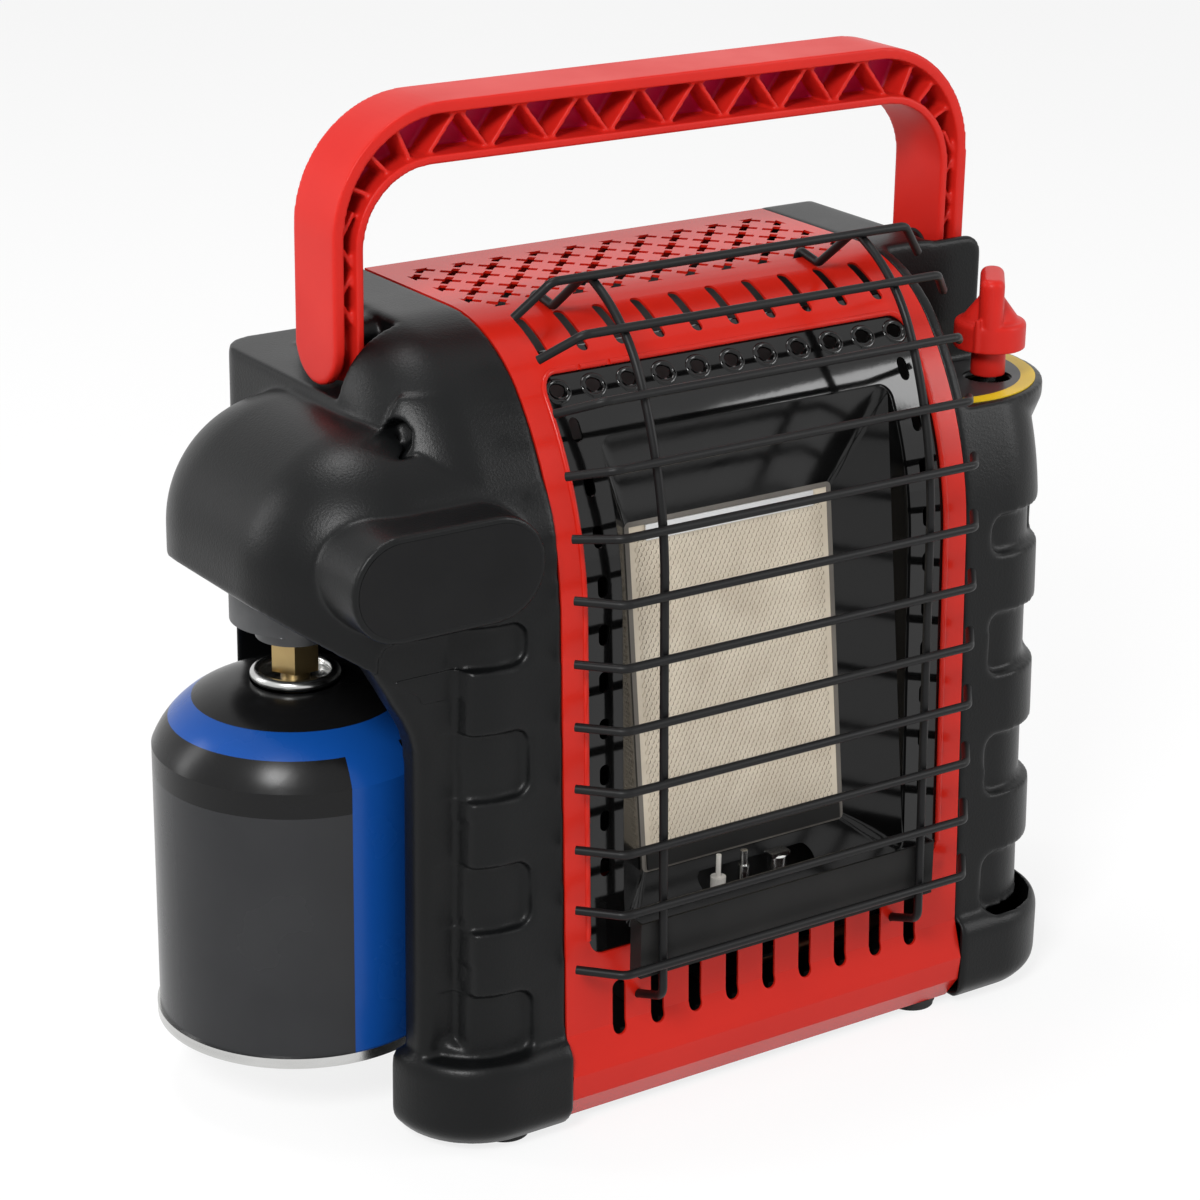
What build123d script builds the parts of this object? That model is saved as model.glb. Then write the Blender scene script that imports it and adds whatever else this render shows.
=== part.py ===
from build123d import *
from math import sin, cos, tan, radians, degrees, sqrt, atan2, hypot
import os

# Portable propane heater for tabletop use: a red sheet-metal wrap between two moulded
# end caps, a radiant ceramic burner behind a wire guard, a fold-down carrying handle, and
# a screw-on gas canister that hangs from a regulator under the domed left cap.
# Millimetres. X to the right seen from the front, the front faces -Y, the floor is Z = 0.

os.makedirs("parts", exist_ok=True)

# ---------------------------------------------------------------- driving dimensions
# case
foot_height = 4.0
body_top = 301.0
body_rear = 99.0
wrap_half = 93.5
sheet = 1.0
panel = 1.2                  # inner steel panels
face_foot_y = -68.2          # front face, carried down to the floor
face_lean = 2.2              # degrees that the front face leans back
brow_radius = 133.0
brow_end = 38.0              # degrees from upright where the brow meets the crown
crown_radius = 60.0
skirt_top = 39.0
skirt_bulge = 5.0
hem_back = 8.0               # how far the skirt's lower edge turns back under
wrap_rear = 76.5             # rear edge of the red top
ledge_z = 275.0              # shelf behind the top that the folded handle rests over
slot_count = 9
slot_pitch = 2 * wrap_half / (slot_count + 1.7)
slot_width = 6.0
slot_height = 22.0
slot_low = 34.3
vent_count = 10              # slots across the bend above the window
vent_pitch = 2 * wrap_half / (vent_count + 1)
vent_width = 4.5
vent_angle = 62.0            # degrees round the crown, from the front
perf_columns = 11
perf_rows = 7
perf_pitch = 2 * wrap_half / perf_columns
perf_row = 9.25
perf_margin = 13.3           # from the rear edge of the top to the last row
perf_arm = 10.5              # length of each arm pair of a cross-shaped hole
perf_width = 3.0

# end caps
cap_half = wrap_half + 53.0
cap_corner = 30.0
cap_wall = 3.0
cap_rear_corner = 16.0
cap_step_y = 79.0            # where the cap's top steps down to the ledge
bulge = 4.5                  # how far the foot of a cap stands out
bulge_top = 40.0
bay_front = -35.0
bay_rear = 91.0
bay_roof = 181.0             # height of the bay where it meets the side of the cap
bay_slope = 34.0             # degrees that the dome's rim rises outwards
bay_corner = 22.0
dome_outer = cap_half + 49.5  # left face of the dome over the canister
dome_front = -58.0
dome_rear = 82.0
dome_top = 271.0
dome_round = 49.0
badge_x = cap_half - 2.5
badge_z = 229.5
badge_width = 78.0
badge_height = 39.0
badge_face_y = -68.0
badge_root_y = -12.0
badge_rim = 2.2
badge_recess = 1.0
pocket_front = 7.0           # front wall of the notch that a handle leg turns in
pocket_inner = cap_half - 25.5
grip_low = 50.0              # centre of the lowest finger recess
grip_pitch = 51.0
grip_height = 25.5
grip_short = 16.0            # height of the top recess
grip_count = 4
grip_inner = cap_half - 39.0
grip_rear = -40.0
relief_front = -50.0         # left cap: its side is set back behind the pillows
relief_width = 15.0
grip_depth = 4.0
grip_corner = 6.0
platform_z = 248.0
platform_back = 3.0
platform_inner = wrap_half + 6.0
housing_x = cap_half - 30.5
housing_y = -1.0
housing_radius = 49.0
housing_band = 6.0
housing_skirt = 34.0         # height over which the housing tapers away below its band
housing_taper = 20.0
guard_inner = cap_half - 28.5  # rounded wall behind the knob
guard_outer = cap_half + 2.5
guard_top = 299.0
guard_corner = 8.0
recess_radius = 6.5          # deep screw recess high on each cap
recess_y = -30.0
recess_z = 269.0
recess_floor = wrap_half + 4.5
post_radius = 5.0

# handle
leg_outer = cap_half - 2.1
leg_inner = leg_outer - 12.4
leg_depth = 29.5
leg_y = 25.0
pivot_z = 291.0
bar_top = 377.0
bar_bottom = 354.5
bar_corner = 46.0
bar_inner_corner = 28.0
handle_skin = 4.5
handle_lip = 3.2
rib = 1.8
rib_setback = 2.5            # the ribs stop short of the handle's edges
bar_ribs = 16
leg_ribs = 4
corner_step = 6.0            # where the corner's own ribs take over from the bar's
corner_rib_angles = (25, 45, 65)
pivot_radius = 4.0
pivot_clearance = 0.06
pivot_boss = 8.0
pivot_depth = 6.5            # how far a pivot pin enters its leg
washer = 0.8
side_play = 0.3

# guard
wire_radius = 1.65
rod_x = wrap_half - 32.5
wire_half = wrap_half - 13.5
wire_count = 12
wire_pitch = 23.9
first_wire = 13.5            # along the rod, from its lower bend
tail_out = 12.0
tail_in = 14.5
guard_plate_half = rod_x + 8.5
guard_plate_low = 62.0
guard_plate_high = 84.0
guard_plate_flange = 7.0

# window, reflector and burner
window_half = wrap_half - 10.5
window_low = 69.0
window_high = 283.0
window_corner = 7.0
enamel = 0.8
mouth_half = window_half - 16.0
surround_holes = 11
surround_pitch = 2 * mouth_half / 8.7
surround_hole_z = 278.0
side_slot_x = window_half - 8.0
side_slot_pitch = 18.0
side_slot_count = 10
side_slot_low = 103.0
tile_width = 92.0
tile_height = 132.0
tile_thick = 13.0
tile_foot_y = -48.7
tile_foot_z = 89.6
tile_lean = 7.0
mouth_below = 17.5           # mouth of the pan below and above the tile, along its face
mouth_above = 39.5
mouth_ahead = 14.0
gasket = 2.0
plenum_depth = 34.0
clip_height = 6.0

# controls
knob_x = housing_x + 18.0
knob_y = -21.5
knob_radius = 14.2
knob_neck = 6.85
knob_hole = 8.7
knob_low = 249.5             # underside of the neck
flange_low = 261.0
flange_high = 272.0
wing_top = 290.5
wing_thick = 9.5
wing_turn = 50.0             # degrees that the wing is turned at rest
knob_travel = 5.0
stem_radius = 3.5
plug_radius = 7.5
running_fit = 0.05
valve_radius = 13.0
valve_flange = 14.0
valve_neck = 9.0
valve_low = 186.0
valve_high = 240.0
dial_margin = 3.0
dial_thick = 0.5

# canister and regulator
can_x = -(cap_half + 6.0)
can_y = 29.0
can_radius = 54.0
can_rim_radius = 55.0
can_bottom = 29.2
can_height = 110.0           # cylinder up to the shoulder
can_shoulder = 24.0
can_neck = 17.0              # radius of the bead round the valve
can_wall = 1.0
bead = 2.2
thread_radius = 5.55
thread_length = 9.0
nut_flats = 17.0
nut_height = 13.0
flange_radius = 14.6
regulator_radius = 24.0
regulator_height = 16.0

# small parts
foot_radius = 10.0
foot_inset = 54.0
front_left_foot_x = -(cap_half - 33.5)
right_foot_x = wrap_half - 10.5
rear_left_foot_x = -(wrap_half - 13.5)
rear_foot_y = 80.0
tube_radius = 3.0
thin_tube_radius = 1.5
hole_margin = 1.5
screw_shank = 2.0
screw_head = 4.0
screw_head_height = 2.2

# ---------------------------------------------------------------- the side outline
lean = radians(face_lean)
brow = radians(brow_end)
face_top_z = (body_top - crown_radius * (1 - sin(brow))
              - brow_radius * (sin(brow) - sin(lean)))


def face_y(z):
    """Front face at height z, below the brow."""
    return face_foot_y + z * tan(lean)


brow_y = face_y(face_top_z) + brow_radius * cos(lean)
brow_z = face_top_z - brow_radius * sin(lean)
crown_y = brow_y - (brow_radius - crown_radius) * cos(brow)
crown_z = body_top - crown_radius


# ---------------------------------------------------------------- where the body stands
# The origin is the centre of the overall box at floor level, so everything is placed
# from these planes, whose own origin is the middle of the red wrap.
rod_bend_z = 54.0
rod_gap = 15.8               # from the front face to the rods at their lower bend
rod_front_y = face_y(rod_bend_z) - rod_gap
rod_points = [(face_y(rod_bend_z) + 6, rod_bend_z - 8), (rod_front_y, rod_bend_z),
              (-76.1, 250.4), (-51.5, 304.6), (-25.0, 317.5), (-3.5, body_top - 0.8),
              (8.0, body_top + wire_radius), (13.0, body_top - 6)]
rod_radii = [5, 172, 62, 7, 3, 3]
with BuildLine(Plane.YZ) as rod_shape:
    FilletPolyline(*rod_points, radius=rod_radii)
rod_path = rod_shape.wires()[0]
rod_hook = hypot(rod_points[1][0] - rod_points[0][0], rod_points[1][1] - rod_points[0][1])


def wire_frame(index):
    """Centre of a crossbar in the side plane, and the direction the rod runs there."""
    along = rod_hook + first_wire + index * wire_pitch
    heading = rod_path.tangent_at(along, position_mode=PositionMode.LENGTH)
    outward = Vector(0, -heading.Z, heading.Y)
    spot = rod_path.position_at(along, position_mode=PositionMode.LENGTH)
    return spot + outward * (2 * wire_radius), heading


rear_head = 1.8              # pan heads stand out behind the rear panel
front_reach = wire_radius - wire_frame(0)[0].Y
left_reach = can_rim_radius - can_x
right_reach = housing_x + housing_radius
body_x = (left_reach - right_reach) / 2
body_y = (front_reach - body_rear - rear_head) / 2
floor_plane = Plane(origin=(body_x, body_y, 0))
front_plane = Plane(origin=(body_x, body_y, 0), x_dir=(1, 0, 0), z_dir=(0, -1, 0))
side_plane = Plane(origin=(body_x, body_y, 0), x_dir=(0, 1, 0), z_dir=(1, 0, 0))


def level(z):
    """Horizontal plane at height z, local axes X and Y."""
    return floor_plane.offset(z)


def front_at(y):
    """Upright plane across the body at depth y, local axes X and Z, normal to the front."""
    return front_plane.offset(-y)


def side_at(x):
    """Upright plane along the body at x, local axes Y and Z, normal to the right."""
    return side_plane.offset(x)


def keep(piece, label):
    """Label a finished sub-part and write its file."""
    piece.part.label = label
    export_step(piece.part, "parts/" + label + ".step")


def side_area(inset, rear, bottom, skirt=False, step_y=None):
    """Area under the front-and-top line, that line moved in by inset."""
    big = brow_radius - inset
    small = crown_radius - inset
    brow_mid = (lean + brow) / 2
    crown_mid = (brow + radians(90)) / 2
    shift = inset / cos(lean)
    face_low = skirt_top if skirt else bottom
    top = body_top - inset
    face_end = (brow_y - big * cos(lean), brow_z + big * sin(lean))
    brow_stop = (brow_y - big * cos(brow), brow_z + big * sin(brow))
    with BuildSketch() as area:
        with BuildLine():
            if step_y is None:
                Polyline((rear, bottom), (rear, top), (crown_y, top))
            else:
                step = step_y - inset
                Polyline((rear, bottom), (rear, ledge_z - inset), (step, ledge_z - inset),
                         (step, top), (crown_y, top))
            ThreePointArc((crown_y, top),
                          (crown_y - small * cos(crown_mid), crown_z + small * sin(crown_mid)),
                          brow_stop)
            ThreePointArc(brow_stop,
                          (brow_y - big * cos(brow_mid), brow_z + big * sin(brow_mid)),
                          face_end)
            Line(face_end, (face_y(face_low) + shift, face_low))
            if skirt:
                belly_y = face_y(skirt_top) - skirt_bulge + inset
                Polyline((face_y(skirt_top) + shift, skirt_top),
                         (belly_y, skirt_top - 3 * skirt_bulge),
                         (belly_y + 1.2, foot_height + 2 * skirt_bulge),
                         (belly_y + hem_back, bottom),
                         (rear, bottom))
            else:
                Line((face_y(bottom) + shift, bottom), (rear, bottom))
        make_face()
    return area.sketch_local


def cap_form(inset):
    """Block of a right-hand cap, its outer skin moved in by inset."""
    with BuildPart() as form:
        with BuildSketch(side_at(wrap_half)):
            add(side_area(inset, body_rear - inset, foot_height + inset, step_y=cap_step_y))
        extrude(amount=cap_half - inset - wrap_half)
        rim = form.faces().sort_by(Axis.X)[-1].edges()
        front_rim = rim.filter_by(
            lambda edge: edge.center().Y < body_y + cap_step_y - inset - 1
            and edge.center().Z > foot_height + inset + 1
            and abs(edge.center().Z - (ledge_z - inset)) > 1)
        fillet(front_rim, cap_corner - inset)
        rear_rim = form.edges().filter_by(Axis.Z).filter_by(
            lambda edge: edge.center().X > body_x + cap_half - inset - 1
            and edge.center().Y > body_y + body_rear - inset - 1)
        fillet(rear_rim, cap_rear_corner - inset)
    return form.part


def foot_form(inset):
    """Foot of a right-hand cap, standing out from the block all round."""
    front = face_y(foot_height) - bulge + inset
    rear = body_rear - inset
    outer = cap_half + bulge - inset
    with BuildPart() as form:
        with BuildSketch(level(foot_height + inset)):
            with Locations(((wrap_half + outer) / 2, (front + rear) / 2)):
                Rectangle(outer - wrap_half, rear - front)
        extrude(amount=bulge_top - foot_height - 2 * inset)
        outer_edges = form.edges().filter_by(Axis.Z).filter_by(
            lambda edge: edge.center().X > body_x + outer - 1)
        fillet(outer_edges.sort_by(Axis.Y)[0], cap_corner + bulge - inset)
        fillet(outer_edges.sort_by(Axis.Y)[-1], cap_rear_corner - inset)
        if inset == 0:
            rounded = form.faces().sort_by(Axis.Z)[-1].edges() + form.faces().sort_by(Axis.Z)[0].edges()
            outer_ring = rounded.filter_by(
                lambda edge: edge.center().X > body_x + wrap_half + 1)
            fillet(outer_ring, 2 * bulge)
    return form.part


# Finger recesses down the front corner of a cap: centre height and height of each.
grips = [(grip_low + index * grip_pitch, grip_height) for index in range(grip_count - 1)]
grips.append((grip_low + (grip_count - 1) * grip_pitch - 2 * cap_wall, grip_short))


def grip_bands(margin, relief=False):
    """Blocks where the finger recesses are, grown by margin; the relief joins their ends."""
    outer = cap_half + 4 * bulge
    inner = grip_inner - margin
    rear = (relief_front + 1 if relief else grip_rear) + margin
    with BuildPart() as bands:
        with BuildSketch(front_at(2 * face_foot_y)):
            for centre_z, height in grips:
                with Locations(((inner + outer) / 2, centre_z)):
                    RectangleRounded(outer - inner, height + 2 * margin,
                                     grip_corner + margin)
        extrude(amount=2 * face_foot_y - rear)
        if relief:
            side_low = grip_low - grip_height / 2 - margin
            side_high = grips[-1][0] + grip_short / 2 + margin
            with BuildSketch(side_at(cap_half - relief_width - margin)):
                with Locations(((relief_front - margin + bay_front + 2 * cap_wall) / 2,
                                (side_low + side_high) / 2)):
                    Rectangle(bay_front + 2 * cap_wall - relief_front + margin,
                              side_high - side_low)
            extrude(amount=outer - cap_half + relief_width + margin)
    return bands.part


def grip_cutter(relief=False):
    """What the finger recesses take out of a cap."""
    with BuildPart() as cutter:
        add(grip_bands(0, relief))
        add(cap_form(grip_depth), mode=Mode.SUBTRACT)
    return cutter.part


def cap_cavity(relief=False):
    """Hollow inside a cap, with a full wall behind the recesses, pocket and ledge."""
    with BuildPart() as cavity:
        add(cap_form(cap_wall))
        add(grip_bands(cap_wall, relief), mode=Mode.SUBTRACT)
        add(cap_form(grip_depth + cap_wall))
        with BuildSketch(level(ledge_z - cap_wall)):
            with Locations(((pocket_inner + cap_half) / 2,
                            (pocket_front - cap_wall + body_rear) / 2)):
                Rectangle(cap_half - pocket_inner + 2 * cap_wall,
                          body_rear - pocket_front + cap_wall)
        extrude(amount=body_top - ledge_z, mode=Mode.SUBTRACT)
    return cavity.part


def handle_pocket():
    """Notch that a handle leg turns in, open to the side, the top and the rear."""
    with BuildPart() as notch:
        with BuildSketch(level(ledge_z)):
            with Locations(((pocket_inner + 2 * cap_half) / 2,
                            (pocket_front + 2 * body_rear) / 2)):
                Rectangle(2 * cap_half - pocket_inner, 2 * body_rear - pocket_front)
        extrude(amount=2 * (body_top - ledge_z))
    return notch.part


def pivot_stud():
    """Boss on the pocket's inner wall that stands up to the handle leg."""
    with BuildPart() as stud:
        with BuildSketch(side_at(pocket_inner - cap_wall)):
            with Locations((leg_y, pivot_z)):
                Circle(pivot_boss)
        extrude(amount=leg_inner - washer - side_play - pocket_inner + cap_wall)
    return stud.part


def pivot_bore():
    """Bore through the boss and the wall behind it for the pivot pin."""
    with BuildPart() as bore:
        with BuildSketch(side_at(pocket_inner - 2 * cap_wall)):
            with Locations((leg_y, pivot_z)):
                Circle(pivot_radius)
        extrude(amount=leg_inner - pocket_inner + 2 * cap_wall)
    return bore.part


def screw_post():
    """Solid post round the deep screw recess, reaching the inner panel."""
    with BuildPart() as post:
        with BuildSketch(side_at(wrap_half)):
            with Locations((recess_y, recess_z)):
                Circle(recess_radius + cap_wall)
        extrude(amount=cap_half - wrap_half)
        add(cap_form(0), mode=Mode.INTERSECT)
    return post.part


def screw_recess():
    """Deep screw recess and the screw's own hole at its floor."""
    with BuildPart() as recess:
        with BuildSketch(side_at(recess_floor)):
            with Locations((recess_y, recess_z)):
                Circle(recess_radius)
        extrude(amount=cap_half + 1 - recess_floor)
        with BuildSketch(side_at(wrap_half)):
            with Locations((recess_y, recess_z)):
                Circle(screw_shank)
        extrude(amount=recess_floor - wrap_half)
    return recess.part


# Blind posts that the inner panels are screwed to, as (y, z).
front_post_y = relief_front + post_radius + 1.5
rear_post_y = 75.0
right_posts = [(front_post_y, 126.0), (rear_post_y, 60.0), (rear_post_y, 235.0)]
left_posts = [(front_post_y, 75.0), (front_post_y, 126.0)]
post_bore = 12.0


def panel_posts(places):
    """Posts from the inner panel out to the cap's skin."""
    with BuildPart() as posts:
        with BuildSketch(side_at(wrap_half)):
            with Locations(*places):
                Circle(post_radius)
        extrude(amount=cap_half - wrap_half)
        add(cap_form(cap_wall / 2), mode=Mode.INTERSECT)
        with BuildSketch(side_at(wrap_half)):
            with Locations(*places):
                Circle(screw_shank)
        extrude(amount=post_bore, mode=Mode.SUBTRACT)
    return posts.part


def rods(radius):
    """The two upright rods of the guard, of any thickness."""
    with BuildPart() as pair:
        with BuildLine(side_at(rod_x)) as rod_line:
            FilletPolyline(*rod_points, radius=rod_radii)
        with BuildSketch(Plane(origin=rod_line.line @ 0, z_dir=rod_line.line % 0)):
            Circle(radius)
        sweep(path=rod_line.line)
        mirror(about=side_plane)
    return pair.part


# ================================================================ case
# front_shell: one bent red sheet over the front and the top.
with BuildPart() as front_shell:
    with BuildSketch(side_plane):
        add(side_area(0, wrap_rear, foot_height, skirt=True))
        add(side_area(sheet, wrap_rear - sheet, foot_height - sheet, skirt=True),
            mode=Mode.SUBTRACT)
        with Locations((wrap_rear, (body_top - sheet) / 2)):
            Rectangle(4 * sheet, body_top - sheet, mode=Mode.SUBTRACT)
    extrude(amount=wrap_half, both=True)
    with BuildSketch(front_plane):
        with Locations((0, (window_low + window_high) / 2)):
            RectangleRounded(2 * window_half, window_high - window_low, window_corner)
        with Locations((0, slot_low + slot_height / 2)):
            with GridLocations(slot_pitch, 0, slot_count, 1):
                SlotOverall(slot_height, slot_width, rotation=90)
    extrude(amount=2 * body_rear, mode=Mode.SUBTRACT)
    # vents across the bend, cut square to the sheet
    vent_turn = radians(vent_angle)
    vent_plane = Plane(origin=(body_x, body_y + crown_y - crown_radius * cos(vent_turn),
                               crown_z + crown_radius * sin(vent_turn)),
                       x_dir=(1, 0, 0), z_dir=(0, -cos(vent_turn), sin(vent_turn)))
    with BuildSketch(vent_plane):
        with GridLocations(vent_pitch, 0, vent_count, 1):
            SlotOverall(slot_height, vent_width, rotation=90)
    extrude(amount=8 * sheet, both=True, mode=Mode.SUBTRACT)
    # cross-shaped perforations in staggered rows, cut in half along the border
    with BuildSketch(level(body_top)):
        span_x = (perf_columns - 1) * perf_pitch
        span_y = (perf_rows - 1) * perf_row
        with Locations((0, wrap_rear - perf_margin - span_y / 2)):
            with GridLocations(perf_pitch, 2 * perf_row, perf_columns, perf_rows // 2):
                Rectangle(perf_arm, perf_width, rotation=45)
                Rectangle(perf_arm, perf_width, rotation=-45)
            with GridLocations(perf_pitch, 2 * perf_row, perf_columns - 1,
                               perf_rows // 2 + 1):
                Rectangle(perf_arm, perf_width, rotation=45)
                Rectangle(perf_arm, perf_width, rotation=-45)
            Rectangle(span_x + perf_width, span_y + perf_width, mode=Mode.INTERSECT)
    extrude(amount=-4 * sheet, mode=Mode.SUBTRACT)
    add(rods(wire_radius + 2 * running_fit), mode=Mode.SUBTRACT)
keep(front_shell, "front_shell")

# rear_panel: back of the case, bent forward into the ledge and up behind the top.
rear_inner = body_rear - panel
riser_y = wrap_rear - panel
louvre_count = 7
louvre_width = 90.0
louvre_height = 5.0
louvre_pitch = 11.0
louvre_low = 60.0            # middle of the lower and the upper bank
louvre_high = 205.0
with BuildPart() as rear_panel:
    with BuildSketch(side_plane):
        with BuildLine():
            Polyline((body_rear, foot_height), (body_rear, ledge_z), (wrap_rear, ledge_z),
                     (wrap_rear, body_top - sheet), (riser_y, body_top - sheet),
                     (riser_y, ledge_z - panel), (rear_inner, ledge_z - panel),
                     (rear_inner, foot_height), close=True)
        make_face()
    extrude(amount=wrap_half, both=True)
    with BuildSketch(front_at(body_rear)):
        with Locations((0, louvre_low), (0, louvre_high)):
            with GridLocations(0, louvre_pitch, 1, louvre_count):
                SlotOverall(louvre_width, louvre_height)
    extrude(amount=2 * panel, both=True, mode=Mode.SUBTRACT)
    rear_screw_places = [(side * (wrap_half - 7.5), z) for side in (-1, 1)
                         for z in (20.0, 140.0, 260.0)]
    with BuildSketch(front_at(body_rear)):
        with Locations(*rear_screw_places):
            Circle(screw_shank)
    extrude(amount=2 * panel, both=True, mode=Mode.SUBTRACT)
keep(rear_panel, "rear_panel")

# base_pan: floor of the case with an upturned front lip.
base_half = wrap_half - panel
base_front = face_y(skirt_top) - skirt_bulge + hem_back + sheet
base_feet = [(right_foot_x, -foot_inset), (rear_left_foot_x, rear_foot_y),
             (right_foot_x, rear_foot_y)]
air_slot_y = 20.0            # slots that let air in under the burner
air_slot_pitch = 12.0
air_slot_length = 30.0
air_slot_width = 5.0
air_slot_count = 5
with BuildPart() as base_pan:
    with BuildSketch(side_plane):
        with BuildLine():
            Polyline((base_front + panel, foot_height), (rear_inner, foot_height),
                     (rear_inner, foot_height + panel),
                     (base_front + panel, foot_height + panel),
                     (base_front + panel, skirt_top - 6), (base_front, skirt_top - 6),
                     (base_front, foot_height), close=True)
        make_face()
    extrude(amount=base_half, both=True)
    with BuildSketch(level(foot_height)):
        with Locations(*base_feet):
            Circle(screw_shank)
        with Locations((0, air_slot_y)):
            with GridLocations(air_slot_pitch, air_slot_length + 10, air_slot_count, 2):
                SlotOverall(air_slot_length, air_slot_width, rotation=90)
    extrude(amount=panel, mode=Mode.SUBTRACT)
    with BuildSketch(front_at(base_front)):
        with Locations((0, slot_low)):
            with GridLocations(slot_pitch, 0, slot_count, 1):
                SlotOverall(slot_height, slot_width + 2, rotation=90)
    extrude(amount=-panel, mode=Mode.SUBTRACT)
keep(base_pan, "base_pan")

# side panels: flat steel plates that close the case and carry the caps.
supply_y = can_y
supply_z = valve_low + 11
low_tube_z = 20.0
pilot_run_y = knob_y - 4
pilot_tube_z = 58.0
lead_run_y = knob_y - 5
lead_z = 50.0
flange_width = 12.0


def side_panel(posts, passages):
    """Right-hand inner panel with its rear flange; passages are (y, z, radius)."""
    with BuildPart() as plate:
        with BuildSketch(side_at(base_half)):
            add(side_area(sheet, rear_inner, foot_height, skirt=True, step_y=wrap_rear))
            with Locations((riser_y, body_top)):
                Rectangle(2 * panel, 2 * (body_top - ledge_z + panel), mode=Mode.SUBTRACT)
            with Locations((rear_inner, ledge_z)):
                Rectangle(2 * (rear_inner - riser_y), 2 * panel, mode=Mode.SUBTRACT)
            with Locations(*posts):
                Circle(screw_shank, mode=Mode.SUBTRACT)
            for y, z, radius in passages:
                with Locations((y, z)):
                    Circle(radius, mode=Mode.SUBTRACT)
        extrude(amount=panel)
        with BuildSketch(level(foot_height + panel)):
            with Locations((base_half - flange_width / 2, rear_inner - panel / 2)):
                Rectangle(flange_width, panel)
        extrude(amount=ledge_z - foot_height - 3 * panel)
        with BuildSketch(front_at(rear_inner)):
            with Locations(*rear_screw_places):
                Circle(screw_shank)
        extrude(amount=2 * panel, mode=Mode.SUBTRACT)
    return plate.part


tube_hole = tube_radius + hole_margin
thin_hole = thin_tube_radius + hole_margin
with BuildPart() as right_side_panel:
    add(side_panel(right_posts, [(supply_y, supply_z, tube_hole),
                                 (knob_y, low_tube_z, tube_hole),
                                 (pilot_run_y, pilot_tube_z, thin_hole),
                                 (lead_run_y, lead_z, thin_hole)]))
keep(right_side_panel, "right_side_panel")

with BuildPart() as left_side_panel:
    add(side_panel(left_posts, [(supply_y, supply_z, tube_hole),
                                (recess_y, recess_z, screw_shank)]))
    mirror(about=side_plane, mode=Mode.REPLACE)
keep(left_side_panel, "left_side_panel")

# ================================================================ end caps
# right_end_cap: carries the control knob on a round platform.
def knob_housing(inset):
    """Round platform under the knob, a band that tapers away into the cap."""
    top = platform_z - inset
    with BuildPart() as housing:
        with BuildSketch(level(top)):
            with Locations((housing_x, housing_y)):
                Circle(housing_radius - inset)
        extrude(amount=-housing_band)
        with BuildSketch(level(top - housing_band)):
            with Locations((housing_x, housing_y)):
                Circle(housing_radius - inset)
        extrude(amount=2 * inset - housing_skirt, taper=housing_taper)
        with BuildSketch(side_plane):
            with Locations((0, platform_z)):
                Rectangle(4 * body_rear, 4 * (housing_band + housing_skirt))
        extrude(amount=wrap_half, mode=Mode.SUBTRACT)
    return housing.part


def above_platform(margin):
    """Space over the knob platform, open to the front and the right."""
    with BuildPart() as space:
        with BuildSketch(level(platform_z - margin)):
            with Locations(((platform_inner - margin + 2 * cap_half) / 2,
                            (platform_back + margin - body_rear) / 2)):
                Rectangle(2 * cap_half - platform_inner + margin,
                          body_rear + platform_back + margin)
        extrude(amount=body_top)
    return space.part


def knob_wall():
    """Rounded wall that stands up behind the knob, in front of the handle's leg."""
    low = platform_z - cap_wall
    with BuildPart() as wall:
        with BuildSketch(front_at(platform_back)):
            with Locations(((guard_inner + guard_outer) / 2, (low + guard_top) / 2)):
                RectangleRounded(guard_outer - guard_inner, guard_top - low, guard_corner)
        extrude(amount=platform_back - pocket_front)
    return wall.part


def right_hollow():
    """Space inside the right cap."""
    with BuildPart() as hollow:
        add(cap_cavity())
        add(foot_form(cap_wall))
        add(above_platform(cap_wall), mode=Mode.SUBTRACT)
        add(knob_housing(cap_wall))
    return hollow.part


with BuildPart() as right_end_cap:
    add(cap_form(0))
    add(foot_form(0))
    add(above_platform(0), mode=Mode.SUBTRACT)
    add(knob_housing(0))
    add(grip_cutter(), mode=Mode.SUBTRACT)
    add(right_hollow(), mode=Mode.SUBTRACT)
    add(knob_wall())
    add(panel_posts(right_posts))
    add(handle_pocket(), mode=Mode.SUBTRACT)
    add(pivot_stud())
    add(pivot_bore(), mode=Mode.SUBTRACT)
    with BuildSketch(level(platform_z)):
        with Locations((knob_x, knob_y)):
            Circle(knob_hole)
    extrude(amount=-2 * cap_wall, mode=Mode.SUBTRACT)
keep(right_end_cap, "right_end_cap")

def dome_form(inset):
    """Rounded hood over the canister, its skin moved in by inset."""
    front = dome_front + inset
    rear = dome_rear - inset
    outer = dome_outer - inset
    low = bay_roof + inset if inset > 0 else bay_roof - cap_wall
    with BuildPart() as form:
        with BuildSketch(level(low)):
            with Locations(((wrap_half + outer) / 2, (front + rear) / 2)):
                Rectangle(outer - wrap_half, rear - front)
        extrude(amount=dome_top - inset - low)
        uprights = form.edges().filter_by(Axis.Z).filter_by(
            lambda edge: edge.center().X > body_x + outer - 1)
        fillet(uprights, dome_round - inset)
        crest = form.faces().sort_by(Axis.Z)[-1].edges().filter_by(
            lambda edge: edge.center().X > body_x + wrap_half + 1)
        fillet(crest, dome_round - inset - 1)
    return form.part


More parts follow.
